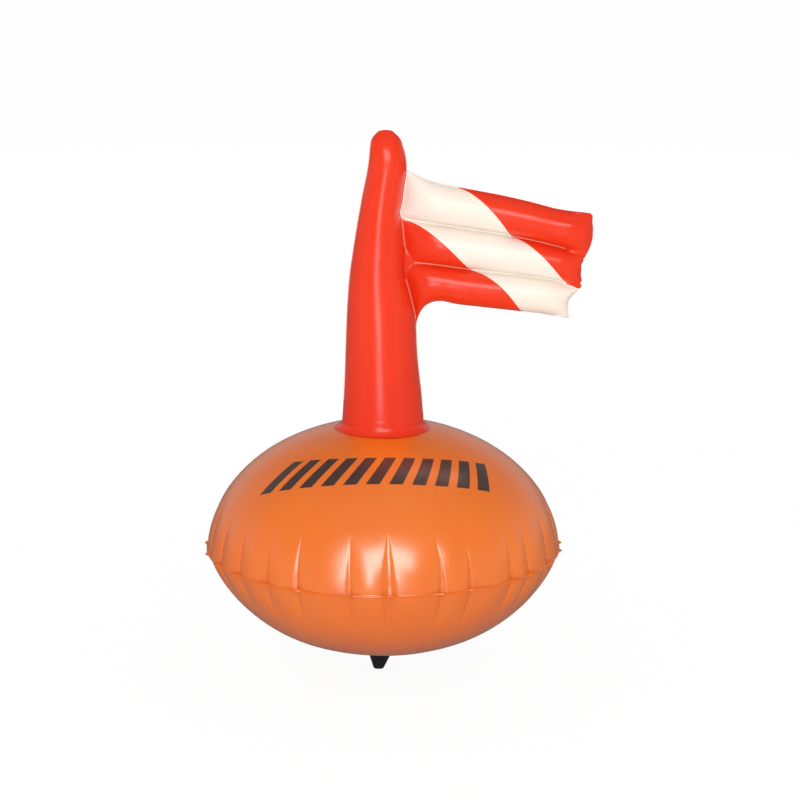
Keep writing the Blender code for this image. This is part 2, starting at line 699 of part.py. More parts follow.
def strap_mesh():
    path = strap_path()
    shape = bmesh.new()
    bmesh.ops.create_grid(shape, x_segments=1, y_segments=STRAP_STEPS, size=1)
    for vertex in shape.verts:
        radius, height = path[round((vertex.co.y + 1) / 2 * STRAP_STEPS)]
        vertex.co = (vertex.co.x * STRAP_WIDTH / 2, radius, height)
    return finish_mesh("valve_strap", shape)


valve_strap = add_object("valve_strap", strap_mesh(), BLACK_RUBBER)
seat_on_crown(valve_strap)
thicken(valve_strap, STRAP_THICKNESS)

bpy.context.view_layer.update()
print("valve origin", tuple(round(v, 6) for v in valve_mouth))
print("valve axis", tuple(round(v, 6) for v in valve_normal))
print("flap hinge", tuple(round(v, 6) for v in VALVE_SEAT @ flap_hinge))
print("lug tip", lug_tip, "eye", lug_tip + EYE_HEIGHT)
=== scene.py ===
"""Looks of the inflatable dive flag float: welded PVC film, blown up tight, and small mouldings."""

import math

import bmesh
import bpy
import numpy as np
from mathutils import Matrix, Vector, noise


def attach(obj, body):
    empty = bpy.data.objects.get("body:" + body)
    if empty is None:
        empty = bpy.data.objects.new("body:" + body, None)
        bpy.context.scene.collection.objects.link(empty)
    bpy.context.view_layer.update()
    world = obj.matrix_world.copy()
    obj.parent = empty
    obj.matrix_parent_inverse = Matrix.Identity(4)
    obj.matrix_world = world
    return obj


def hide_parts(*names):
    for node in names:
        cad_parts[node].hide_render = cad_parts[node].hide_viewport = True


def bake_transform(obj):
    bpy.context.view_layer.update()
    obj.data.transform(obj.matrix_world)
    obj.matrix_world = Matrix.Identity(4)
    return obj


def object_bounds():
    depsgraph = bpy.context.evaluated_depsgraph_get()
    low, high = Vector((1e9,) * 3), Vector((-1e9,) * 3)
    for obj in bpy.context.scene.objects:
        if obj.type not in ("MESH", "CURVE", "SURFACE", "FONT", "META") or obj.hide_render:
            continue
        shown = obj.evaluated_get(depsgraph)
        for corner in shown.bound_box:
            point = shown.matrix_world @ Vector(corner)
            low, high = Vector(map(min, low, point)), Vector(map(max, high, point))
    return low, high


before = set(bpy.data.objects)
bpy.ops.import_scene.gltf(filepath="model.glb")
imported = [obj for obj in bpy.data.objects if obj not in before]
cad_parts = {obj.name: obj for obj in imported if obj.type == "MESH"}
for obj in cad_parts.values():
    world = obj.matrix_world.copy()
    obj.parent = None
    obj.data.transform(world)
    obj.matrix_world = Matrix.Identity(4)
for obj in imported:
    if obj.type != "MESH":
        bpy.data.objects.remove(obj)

cad_box = [list(corner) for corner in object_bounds()]


# Camera, standing a little above the hull and looking down on its seam by sixteen degrees.
# The lens frames the float as the catalogue picture does.
CAMERA_PLACE = (0.01688, -3.07599, 0.88203)
CAMERA_PITCH = math.radians(13.395)
LENS, SENSOR = 144.0, 36.0


def in_scene(name, data):
    """A new object of the scene, which shows the camera, lamp or mesh given."""
    made = bpy.data.objects.new(name, data)
    bpy.context.scene.collection.objects.link(made)
    return made


camera_data = bpy.data.cameras.new("camera")
camera_data.lens = LENS
camera_data.sensor_width = SENSOR
camera = in_scene("camera", camera_data)
camera.location = CAMERA_PLACE
camera.rotation_euler = (math.pi / 2 - CAMERA_PITCH, 0, 0)
bpy.context.scene.camera = camera


# Studio: a broad soft box over the camera, a small one by it for the mast's streak, unmirrored fills
# at the sides and behind, a pale room and a white floor. The broad box's size and height are read
# from the bright patches on the hull's lobes.
def soft_box(name, turn, rise, reach, width, height, power, mirrored=True):
    """An area lamp that faces the float from a bearing (degrees from the front) and a height."""
    lamp = bpy.data.lights.new(name, "AREA")
    lamp.shape = "RECTANGLE"
    lamp.size, lamp.size_y = width, height
    lamp.energy = power
    placed = in_scene(name, lamp)
    bearing, lift = math.radians(turn), math.radians(rise)
    placed.location = (reach * math.sin(bearing) * math.cos(lift),
                       -reach * math.cos(bearing) * math.cos(lift), reach * math.sin(lift))
    placed.rotation_euler = Vector(placed.location).to_track_quat("Z", "Y").to_euler()
    placed.visible_camera = False
    placed.visible_glossy = mirrored


soft_box("key_box", 0, 27, 3.4, 2.1, 1.25, 39)
soft_box("front_strip", -7, 7, 1.6, 0.44, 0.46, 3.2)
soft_box("left_fill", -62, 6, 3.2, 1.8, 0.9, 8, mirrored=False)
soft_box("right_fill", 60, 6, 3.2, 1.8, 0.9, 8, mirrored=False)
soft_box("rear_fill", 180, 24, 3.4, 2.0, 1.2, 16, mirrored=False)


def wire(tree, made, inputs):
    """Gives a node its inputs by label or number, each a value or a socket to link."""
    for label, value in inputs.items():
        if isinstance(value, bpy.types.NodeSocket):
            tree.links.new(value, made.inputs[label])
        else:
            made.inputs[label].default_value = value


def node(tree, kind, inputs=None, **settings):
    """A new node of a material, a room or a Geometry Nodes tree."""
    made = tree.nodes.new(kind)
    for setting, value in settings.items():
        setattr(made, setting, value)
    wire(tree, made, inputs or {})
    return made


def maths(tree, kind, *values):
    """One step of arithmetic on numbers or sockets."""
    return node(tree, "ShaderNodeMath", dict(enumerate(values)), operation=kind).outputs[0]


def scaled(tree, value, low, high, at_low, at_high):
    """A value between low and high, turned into one between at_low and at_high."""
    return node(tree, "ShaderNodeMapRange", {"Value": value, "From Min": low, "From Max": high,
                                             "To Min": at_low, "To Max": at_high}).outputs["Result"]


world = bpy.data.worlds.new("pale_room")
bpy.context.scene.world = world
world.use_nodes = True
room = world.node_tree
heading = node(room, "ShaderNodeTexCoord").outputs["Generated"]
towards = node(room, "ShaderNodeSeparateXYZ", {"Vector": heading}).outputs
rays = node(room, "ShaderNodeLightPath").outputs

# The room's light grows towards the ceiling. What the film mirrors of the room is palest low down,
# behind the float and beside it, and nearly black overhead.
room_light = scaled(room, towards["Z"], 0.0, 1.0, 0.15, 1.05)
mirrored_wall = scaled(room, towards["Y"], -0.6, 0.2, 0.08, 0.38)
mirrored_room = scaled(room, towards["Z"], 0.15, 0.70, mirrored_wall, 0.026)
indoors = scaled(room, rays["Is Glossy Ray"], 0.0, 1.0, room_light, mirrored_room)
seen = maths(room, "MAXIMUM", rays["Is Camera Ray"], rays["Is Transmission Ray"])
wire(room, room.nodes["Background"], {"Color": (1.0, 1.0, 1.0, 1.0),
                                      "Strength": scaled(room, seen, 0.0, 1.0, indoors, 1.0)})

# The floor looks white to the camera and stays dim in what the glossy film mirrors.
FLOOR_SIZE, FLOOR_PAINT = 30.0, (0.97, 0.97, 0.97, 1)
FLOOR_GLOW, FLOOR_MIRRORED = 0.95, 0.16
bpy.ops.mesh.primitive_plane_add(size=FLOOR_SIZE, location=(0, 0, cad_box[0][2]))
floor = bpy.context.active_object
floor.name = "floor"
floor_paint = bpy.data.materials.new("white_floor")
floor_paint.use_nodes = True
paint = floor_paint.node_tree
painted = paint.nodes["Principled BSDF"]
wire(paint, painted, {"Base Color": FLOOR_PAINT, "Roughness": 0.9, "Specular IOR Level": 0.1})
floor_rays = node(paint, "ShaderNodeLightPath").outputs
glow = node(paint, "ShaderNodeEmission").outputs["Emission"]
dim_glow = node(paint, "ShaderNodeEmission", {"Strength": FLOOR_MIRRORED}).outputs["Emission"]
keep_white = maths(paint, "MULTIPLY", floor_rays["Is Camera Ray"], FLOOR_GLOW)
backdrop = node(paint, "ShaderNodeMixShader", {"Fac": keep_white, 1: painted.outputs["BSDF"], 2: glow})
either = node(paint, "ShaderNodeMixShader", {"Fac": floor_rays["Is Glossy Ray"],
                                             1: backdrop.outputs["Shader"], 2: dim_glow})
wire(paint, paint.nodes["Material Output"], {"Surface": either.outputs["Shader"]})
floor.data.materials.append(floor_paint)

bpy.context.scene.view_settings.view_transform = "Standard"


# Hull: two round orange film panels, welded face to face round the rim and blown up. The flat
# weld can't shorten as the film rises, so the film puckers into creases with lobes between them.
HULL_RADIUS = 0.175
CROWN_HEIGHT, CROWN_FALL, CROWN_ROUND = 0.1267, 1.935, 2.0
KEEL_DEPTH, KEEL_FALL, KEEL_ROUND = 0.0992, 1.295, 2.66
PORT_RADIUS = 0.034
VALVE_REACH, VALVE_HOLE = 0.095, 0.0140
RIM_WIDTH, RIM_NUB, RIM_RIPPLE = 0.0008, 0.0026, 0.0010
FILM = 0.0004
WELD_HALF = 0.00042
FULL_TURN = 2 * math.pi
FIRST_CREASE = math.radians(-53.6)
CREASE_STEPS = (13.1, 12.2, 17.9, 12.4, 17.2, 10.2, 16.9, 8.7, 14.0, 15.0, 9.2, 18.0, 14.7,
                14.8, 11.6, 15.9, 13.4, 14.1, 12.5, 16.0, 13.7, 11.9, 17.2, 13.5, 13.0, 12.9)
CREASE_PLACES = FIRST_CREASE + np.cumsum((0.0, *CREASE_STEPS)) / sum(CREASE_STEPS) * FULL_TURN
COLUMNS_PER_LOBE, CROWDING = 30, 0.125
CREASE_SEED = 11
CREASE_RANGES = {"depth": (0.0010, 0.0016), "width": (0.0040, 0.0060), "rise": (0.046, 0.060),
                 "drop": (0.032, 0.046), "lean": (-0.0030, 0.0030), "floor": (0.0, 0.45)}
FRONT_CREASE = 4
WIDE_CREASE = {"depth": 0.0027, "width": 0.0084, "rise": 0.056, "lean": 0, "floor": 0.42}


def crease_table():
    """Each crease's bearing, depth, half width, reach up, reach down, lean and flat share."""
    rng = np.random.default_rng(CREASE_SEED)
    creases = {"bearing": CREASE_PLACES[:-1]}
    for trait, (low, high) in CREASE_RANGES.items():
        creases[trait] = rng.uniform(low, high, len(CREASE_STEPS))
    for trait, value in WIDE_CREASE.items():
        creases[trait][FRONT_CREASE] = value
    return creases


def crease_columns():
    """Bearings of the mesh's columns, crowded together at each crease."""
    share = np.arange(COLUMNS_PER_LOBE) / COLUMNS_PER_LOBE
    crowded = share - CROWDING * np.sin(FULL_TURN * share)
    return (CREASE_PLACES[:-1, None] + np.diff(CREASE_PLACES)[:, None] * crowded).ravel()


def lobe_count(bearings):
    """How many lobes lie before each bearing: a whole number at a crease."""
    return np.interp((bearings - FIRST_CREASE) % FULL_TURN, CREASE_PLACES - FIRST_CREASE,
                     np.arange(len(CREASE_PLACES)))


def growing(value, start, run):
    """0 up to the start, and 1 from a run further on."""
    return np.clip((value - start) / run, 0, 1)


def turned(radii, bearings, heights):
    """Points at radii and heights, at bearings that run from the front towards +X."""
    return np.stack(np.broadcast_arrays(radii * np.sin(bearings), -radii * np.cos(bearings),
                                        heights), -1)


def even_turns(count):
    return np.linspace(0, FULL_TURN, count, endpoint=False)


def wobble(points, size, seed):
    """A smooth random field over points, about -1 to 1, that changes over the size given."""
    shift = Vector((seed * 7.31, seed * 3.17, seed * 5.93))
    flat = points.reshape(-1, 3)
    values = [noise.noise(Vector(point) / size + shift) for point in flat]
    return np.array(values).reshape(points.shape[:-1])


LOBE_DEPTH, LOBE_RISE, LOBE_DROP = 0.0030, 0.060, 0.044
LOBE_ROUND, LOBE_END, LOBE_FADE = 1.8, 1.5, 1.2
AT_WELD, WELD_SHARE = 0.75, 0.16
CREASE_LEAST, CREASE_POINT, CREASE_WALL, CREASE_FADE = 0.0006, 0.85, 1.3, 0.75
RIDGE_SHARE, RIDGE_WIDER, RIDGE_GROWS, BELOW_SHARE = 0.12, 0.05, (0.2, 0.4), 0.90


def pucker_depth(bearings, heights, radii):
    """How far the film is drawn in at each place, zero on the lobes' crests, in metres."""
    turn, height, radius = bearings[None, :], heights[:, None], radii[:, None]
    above = height > 0
    from_crest = np.abs(2 * (lobe_count(turn) % 1.0) - 1)
    share = growing(np.abs(height), 0, np.where(above, LOBE_RISE, LOBE_DROP))
    at_weld = AT_WELD + (1 - AT_WELD) * growing(share, 0, WELD_SHARE)
    drawn = (LOBE_DEPTH * from_crest ** LOBE_ROUND * at_weld
             * (1 - share ** LOBE_END) ** LOBE_FADE)
    part = np.where(above, 1.0, BELOW_SHARE)
    for bearing, depth, width, rise, drop, lean, floor in zip(*crease_table().values()):
        share = growing(np.abs(height), 0, np.where(above, rise, drop))
        gap = (turn - bearing + math.pi) % FULL_TURN - math.pi
        mouth = part * width * (1 - share) ** CREASE_POINT + CREASE_LEAST
        across = np.abs(gap * radius - lean * share ** 2) / mouth
        ridge = RIDGE_SHARE * floor * np.exp(-(across / (floor + RIDGE_WIDER)) ** 2)
        fold = growing(1 - across, 0, 1 - floor) ** CREASE_WALL - ridge * growing(share, *RIDGE_GROWS)
        drawn = drawn + part * depth * fold * at_weld * (1 - share) ** CREASE_FADE
    return drawn


def grid_faces(rows, columns, wrap):
    """Quads over a grid of points, the first row uppermost and columns running with +X at front."""
    last = columns if wrap else columns - 1
    faces = []
    for row in range(rows - 1):
        for column in range(last):
            beside = (column + 1) % columns
            here, below = row * columns, (row + 1) * columns
            faces.append((here + column, below + column, below + beside, here + beside))
    return faces


def meshed(name, points, faces, finish):
    mesh = bpy.data.meshes.new(name)
    mesh.from_pydata(points.reshape(-1, 3).tolist(), [], faces)
    mesh.shade_smooth()
    mesh.materials.append(finish)
    return in_scene(name, mesh)


def film_piece(name, points, finish, wrap=False, flip=False, wall=FILM, rim=True):
    """A film panel from a grid of outer-skin points, given its wall on the inner side."""
    faces = grid_faces(*points.shape[:2], wrap)
    if flip:
        faces = [face[::-1] for face in faces]
    piece = meshed(name, points, faces, finish)
    skin = piece.modifiers.new("film", "SOLIDIFY")
    skin.thickness = wall
    skin.offset = -1.0
    skin.use_rim = rim
    return piece


def interface(tree, inputs, outputs):
    """Names a group's inputs and outputs, each a kind of socket or the number it starts from."""
    for way, given in (("INPUT", inputs), ("OUTPUT", outputs)):
        for label, value in given.items():
            kind = {int: "Int", float: "Float"}.get(type(value), value)
            made = tree.interface.new_socket(name=label, in_out=way, socket_type="NodeSocket" + kind)
            if kind != value:
                made.default_value = value


def film_effects():
    """Shared surface of calendered PVC film: slow colour drift, uneven gloss and fine grain."""
    group = bpy.data.node_groups.new("pvc_film_surface", "ShaderNodeTree")
    interface(group, {"Gloss": 0.3}, {"Tone": "Float", "Roughness": "Float", "Height": "Float"})
    gloss = node(group, "NodeGroupInput").outputs["Gloss"]
    place = node(group, "ShaderNodeTexCoord").outputs["Object"]

    def cloud(scale, detail, roughness):
        return node(group, "ShaderNodeTexNoise", {"Vector": place, "Scale": scale, "Detail": detail,
                                                  "Roughness": roughness}).outputs["Fac"]

    drift, handling = cloud(9.0, 3.0, 0.55), cloud(46.0, 6.0, 0.65)
    grain, slack = cloud(1400.0, 2.0, 0.6), cloud(75.0, 2.0, 0.5)
    uneven = maths(group, "MULTIPLY_ADD", handling, 0.10, -0.05)
    height = maths(group, "ADD", maths(group, "MULTIPLY", slack, 0.00003),
                   maths(group, "MULTIPLY", grain, 0.000004))
    node(group, "NodeGroupOutput", {"Tone": drift, "Height": height,
                                    "Roughness": maths(group, "ADD", gloss, uneven)})
    return group


PVC_SURFACE = film_effects()


def toned(tree, share, *stops):
    """A colour that goes from one (share, colour) stop to the other."""
    ramp = node(tree, "ShaderNodeValToRGB", {"Fac": share})
    for element, (place, colour) in zip(ramp.color_ramp.elements, stops):
        element.position = place
        element.color = (*colour, 1)
    return ramp.outputs["Color"]


def film_material(name, light, deep, gloss, coat, coat_index=1.5, coat_gloss=0.20):
    """Soft PVC film: colour that drifts between two tones, with a tighter gloss over a softer one."""
    made = bpy.data.materials.new(name)
    made.use_nodes = True
    tree = made.node_tree
    surface = node(tree, "ShaderNodeGroup", node_tree=PVC_SURFACE)
    wire(tree, surface, {"Gloss": gloss})
    bump = node(tree, "ShaderNodeBump", {"Strength": 1.0, "Distance": 1.0,
                                         "Height": surface.outputs["Height"]})
    wire(tree, tree.nodes["Principled BSDF"], {
        "Base Color": toned(tree, surface.outputs["Tone"], (0.30, deep), (0.70, light)),
        "Roughness": surface.outputs["Roughness"], "Normal": bump.outputs["Normal"], "IOR": 1.52,
        "Specular IOR Level": 0.30, "Coat Weight": coat, "Coat Roughness": coat_gloss,
        "Coat IOR": coat_index})
    return made


ORANGE_LIGHT, ORANGE_DEEP = (0.870, 0.178, 0.005), (0.840, 0.154, 0.003)
ORANGE_FILM = film_material("orange_pvc_film", ORANGE_LIGHT, ORANGE_DEEP, 0.32, 1.0, 2.0, 0.27)


# Print: a row of slanted charcoal bars across the front of the crown, laid out on an arc.
PRINT_CENTRE, PRINT_INSIDE, PRINT_OUTSIDE = 0.090, 0.1715, 0.2055
PRINT_BARS, PRINT_STEP, PRINT_SLANT, BAR_SHARE = 11, math.radians(6.2), 0.42, 0.60
INK = (0.026, 0.028, 0.026, 1)


def printed(finish):
    """A copy of the film's material with the bars printed on it, placed by object coordinates."""
    made = finish.copy()
    made.name = "printed_orange_film"
    tree = made.node_tree
    shader = tree.nodes["Principled BSDF"]

    def step(kind, *values):
        return maths(tree, kind, *values)

    def inside(value, limit, soft):
        """1 where the value is below the limit, with a soft edge."""
        return scaled(tree, value, limit - soft, limit + soft, 1.0, 0.0)

    place = node(tree, "ShaderNodeTexCoord").outputs["Object"]
    axes = node(tree, "ShaderNodeSeparateXYZ", {"Vector": place}).outputs
    across, ahead = axes["X"], step("SUBTRACT", PRINT_CENTRE, axes["Y"])
    radius = step("SQRT", step("ADD", step("MULTIPLY", across, across),
                               step("MULTIPLY", ahead, ahead)))
    turn = step("ARCTAN2", across, ahead)
    middle, half = (PRINT_INSIDE + PRINT_OUTSIDE) / 2, (PRINT_OUTSIDE - PRINT_INSIDE) / 2
    out = step("DIVIDE", step("SUBTRACT", radius, middle), half)
    count = step("ADD", step("DIVIDE", turn, PRINT_STEP), step("MULTIPLY", out, PRINT_SLANT))
    from_bar = step("ABSOLUTE", step("SUBTRACT", step("FRACT", step("ADD", count, 100.5)), 0.5))
    bar, row = inside(from_bar, BAR_SHARE / 2, 0.02), inside(step("ABSOLUTE", out), 1.0, 0.02)
    ends, front = inside(step("ABSOLUTE", count), PRINT_BARS / 2, 0.01), inside(axes["Y"], 0.0, 0.001)
    mask = step("MULTIPLY", step("MULTIPLY", bar, row), step("MULTIPLY", ends, front))
    worn = node(tree, "ShaderNodeTexNoise", {"Vector": place, "Scale": 420.0, "Detail": 4.0})
    cover = step("MULTIPLY", mask, step("MULTIPLY_ADD", worn.outputs["Fac"], 0.10, 0.90))
    film_colour = shader.inputs["Base Color"].links[0].from_socket
    film_gloss = shader.inputs["Roughness"].links[0].from_socket
    ink = node(tree, "ShaderNodeMix", {"Factor": cover}, data_type="RGBA")
    under, over = [socket for socket in ink.inputs if socket.type == "RGBA"]
    tree.links.new(film_colour, under)
    over.default_value = INK
    wire(tree, shader, {
        "Base Color": [socket for socket in ink.outputs if socket.type == "RGBA"][0],
        "Roughness": step("MULTIPLY_ADD", cover, 0.10, film_gloss)})
    return made


PRINTED_FILM = printed(ORANGE_FILM)


RIM_ROWS, NUB_POINT = (1.0, 0.66, 0.33), 10
SLACK = ((0.060, 3, 0.0005), (0.022, 5, 0.00012))
TAUT_SEAM, TAUT_PORT, TAUT_VALVE = (0.0, 0.02), (0.050, 0.02), (0.022, 0.015)


def hull_panel(height, fall, round_power, side, shares):
    """One blown panel: side is +1 for the crown and -1 for the keel, shares run seam to pole."""
    bearings = crease_columns()
    quarter = math.pi / 2 * shares
    radii = HULL_RADIUS * np.cos(quarter) ** (2 / round_power)
    heights = WELD_HALF + (height - WELD_HALF) * np.sin(quarter) ** (2 / fall)
    drawn = pucker_depth(bearings, side * heights, radii)
    slopes = np.gradient(np.stack([radii, heights], -1), axis=0)
    normals = np.stack([slopes[:, 1], -slopes[:, 0]], -1)
    normals /= np.linalg.norm(normals, axis=1, keepdims=True)
    radial = radii[:, None] - drawn * normals[:, :1]
    rise = np.maximum(heights[:, None] - drawn * normals[:, 1:], WELD_HALF)
    gather = 0.5 + 0.5 * np.cos(FULL_TURN * lobe_count(bearings))
    rim_share = np.array(RIM_ROWS)[:, None]
    rim_radius = HULL_RADIUS + RIM_WIDTH + RIM_NUB * gather ** NUB_POINT
    rim_rise = WELD_HALF + side * RIM_RIPPLE * (gather - 0.5) * rim_share
    radial = np.concatenate([radial[0] + (rim_radius - radial[0]) * rim_share, radial])
    points = turned(radial, bearings, side * np.concatenate([rim_rise, rise]))
    swell = sum(wobble(points, size, seed) * depth for size, seed, depth in SLACK)
    x, y, z = np.moveaxis(points, -1, 0)
    fade = (growing(np.abs(z), *TAUT_SEAM) * growing(np.hypot(x, y), *TAUT_PORT)
            * growing(np.hypot(x, y - VALVE_REACH), *TAUT_VALVE))
    points *= (1 + swell * fade / HULL_RADIUS)[..., None]
    return points[::-1] if side > 0 else points


def meridian(end, *rows):
    """Shares of the way from seam to pole, with rows for the weld, the puckers and the rest."""
    stops = (0, 0.06, 0.30, end)
    runs = [np.linspace(low, high, count, endpoint=False)
            for low, high, count in zip(stops, stops[1:], rows)]
    return np.concatenate([*runs, [end]])


port_share = math.acos(PORT_RADIUS / HULL_RADIUS) / (math.pi / 2)
crown_points = hull_panel(CROWN_HEIGHT, CROWN_FALL, CROWN_ROUND, 1, meridian(port_share, 11, 27, 16))
hull_upper_film = film_piece("hull_upper_film", crown_points, PRINTED_FILM, wrap=True)


# The valve's hole: the grid's long cells are divided there, and the edge of what is cut is rounded.
HOLE_ROUND, HOLE_EDGE = 1.6 * VALVE_HOLE, 1.2 * VALVE_HOLE
LONG_CELL, CELL_CUTS = 0.004, 7


def from_valve(place):
    return math.hypot(place.x, place.y - VALVE_REACH)


opened = bmesh.new()
opened.from_mesh(hull_upper_film.data)
long_edges = [edge for edge in opened.edges if edge.calc_length() > LONG_CELL and any(
    from_valve(face.calc_center_median()) < HOLE_ROUND for face in edge.link_faces)]
bmesh.ops.subdivide_edges(opened, edges=long_edges, cuts=CELL_CUTS, use_grid_fill=True)
cut = [face for face in opened.faces if from_valve(face.calc_center_median()) < VALVE_HOLE]
bmesh.ops.delete(opened, geom=cut, context="FACES")
for corner in opened.verts:
    away = from_valve(corner.co)
    if corner.is_boundary and away < HOLE_EDGE:
        corner.co.x *= VALVE_HOLE / away
        corner.co.y = VALVE_REACH + (corner.co.y - VALVE_REACH) * VALVE_HOLE / away
opened.to_mesh(hull_upper_film.data)
opened.free()
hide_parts("hull_upper_panel")
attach(hull_upper_film, "float")

keel_points = hull_panel(KEEL_DEPTH, KEEL_FALL, KEEL_ROUND, -1, meridian(0.998, 9, 19, 23))
hull_lower_film = film_piece("hull_lower_film", keel_points, ORANGE_FILM, wrap=True)
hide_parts("hull_lower_panel")
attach(hull_lower_film, "float")


# Rim: the two films fuse into one edge, blunt and a little bevelled towards the top, which catches
# the light between the creases and bunches into small nubs at them.
RIM_SECTION = ((-0.0008, 0.0007), (-0.0002, 0.00078), (0.00002, 0.00066), (0.00030, -0.00010),
               (0.00034, -0.00034), (0.00018, -0.00062), (-0.0002, -0.0008), (-0.0008, -0.0007))
SHARP_TURN = math.radians(38)


def solid_piece(name, points, finish, place=None, sharp=SHARP_TURN):
    """A closed moulding from rings of points; rings that shrink to a point or meet are merged."""
    shape = bmesh.new()
    corners = [shape.verts.new(point) for point in points.reshape(-1, 3)]
    for face in grid_faces(len(points), points.shape[1], True):
        shape.faces.new([corners[k] for k in face])
    bmesh.ops.remove_doubles(shape, verts=shape.verts, dist=0.000002)
    bmesh.ops.dissolve_degenerate(shape, edges=shape.edges, dist=0.000001)
    mesh = bpy.data.meshes.new(name)
    shape.to_mesh(mesh)
    shape.free()
    if place is not None:
        mesh.transform(place)
    mesh.shade_smooth()
    mesh.set_sharp_from_angle(angle=sharp)
    mesh.materials.append(finish)
    return in_scene(name, mesh)


ORANGE_EDGE = film_material("orange_fused_edge", (0.84, 0.165, 0.008), (0.80, 0.14, 0.006), 0.16,
                            0.9, 1.6, 0.10)
rim_middle = (crown_points[-1] + keel_points[0]) / 2
rim_out = rim_middle[:, :2] / np.linalg.norm(rim_middle[:, :2], axis=1, keepdims=True)
rim_rings = []
for out, rise in RIM_SECTION + RIM_SECTION[:1]:
    ring = rim_middle.copy()
    ring[:, :2] += rim_out * out
    ring[:, 2] += rise
    rim_rings.append(ring)
hull_rim = solid_piece("hull_rim_edge", np.array(rim_rings), ORANGE_EDGE, sharp=math.radians(70))
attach(hull_rim, "float")


# Mast: two red film halves, welded down the left and right edges into a tapered tube. It leans a
# little to the left on its way up, bows out under the flag and ends in a blunt, puckered tip.
MAST_TOP, MAST_RADIUS = 0.4184, 0.040
MAST_FOOT = 0.1316
MAST_WELD, MAST_TUCK, MAST_EVENING = 0.0011, 0.0030, 0.045
MAST_LEFT = ((0.0, -1.0), (0.144, -0.945), (0.25, -0.918), (0.418, -0.865), (0.48, -0.832),
             (0.605, -0.712), (0.77, -0.512), (0.894, -0.345), (0.93, -0.318), (0.955, -0.30),
             (0.98, -0.235), (1.0, -0.10))
MAST_RIGHT = ((0.0, 1.0), (0.08, 0.955), (0.20, 0.862), (0.26, 0.832), (0.31, 0.82), (0.36, 0.80),
              (0.41, 0.72), (0.47, 0.61), (0.52, 0.525), (0.58, 0.55), (0.63, 0.515), (0.70, 0.455),
              (0.718, 0.415), (0.745, 0.46), (0.80, 0.515), (0.894, 0.578), (0.945, 0.50),
              (0.98, 0.39), (1.0, 0.24))
MAST_ROWS, TIP_ROWS, MAST_COLUMNS = 149, 40, 46
INLET_PLACE, INLET_SPAN, INLET_DEPTH = 0.5455, 0.012, 0.0026
TIP_SHARE, TIP_KEPT, TIP_KEPT_RUN = 0.12, 0.07, 0.04
TIP_DIP, TIP_MIDDLE, TIP_HALF = 0.0013, 0.0030, 0.0070
WAVE_SIZE, WAVE_STRETCH, WAVE_DEPTH = 0.045, (1.0, 1.0, 0.55), 0.00009
WELD_LEAST, WELD_GRIPPED, WELD_GROWS = 0.12, 0.003, 0.014
MAST_LENGTH = MAST_TOP - MAST_WELD - MAST_FOOT
SIDES = (("front", -1), ("rear", 1))


def through(points, at):
    """Smooth values through rising (place, value) points, at one place or an array of them."""
    places, values = np.array(points).T
    slopes = np.gradient(values, places)
    at = np.clip(at, places[0], places[-1])
    k = np.clip(np.searchsorted(places, at, side="right") - 1, 0, len(places) - 2)
    step = places[k + 1] - places[k]
    t = (at - places[k]) / step
    rise = values[k + 1] - values[k]
    return (values[k] + slopes[k] * step * t * (1 - t) ** 2
            - slopes[k + 1] * step * t * t * (1 - t) + rise * t * t * (3 - 2 * t))


def mast_weld(height):
    """Width of the flat weld along the edge, which runs out where the collar grips the mast."""
    share = WELD_LEAST + (height - MAST_FOOT - WELD_GRIPPED) / WELD_GROWS
    return MAST_WELD * np.clip(share, WELD_LEAST, 1)


def mast_outside(side, height):
    share = (height - MAST_FOOT) / MAST_LENGTH
    return MAST_RADIUS * through(MAST_LEFT if side < 0 else MAST_RIGHT, share)


def inlet_lift(height):
    """Where the weld beside the flag stops, the films stand apart and let the air through."""
    reach = (height - MAST_FOOT - MAST_LENGTH * INLET_PLACE) / INLET_SPAN
    return INLET_DEPTH * np.exp(-reach ** 4)


def mast_section(heights, turns):
    """The film's middle, its swell, and its reach to the side that each turn is on.

    The swell evens out the kinks of the outline everywhere but near the tip."""
    weld = mast_weld(heights)
    ends = mast_outside(-1, heights) + weld, mast_outside(1, heights) - weld
    wide = np.linspace(-1, 1, 25) * MAST_EVENING
    share = np.exp(-(wide / MAST_EVENING * 1.6) ** 2)
    even = [mast_outside(side, heights[:, None] + wide) @ share / share.sum() for side in (-1, 1)]
    near_tip = growing(heights, MAST_TOP - TIP_KEPT, TIP_KEPT_RUN)
    near_tip = near_tip * near_tip * (3 - 2 * near_tip)
    left, right = (smooth + (raw - smooth) * near_tip for smooth, raw in zip(even, ends))
    middle, swell = (left + right)[:, None] / 2, (right - left)[:, None] / 2
    reach = np.where(np.sin(turns) < 0, middle - ends[0][:, None], ends[1][:, None] - middle)
    return middle, swell, reach


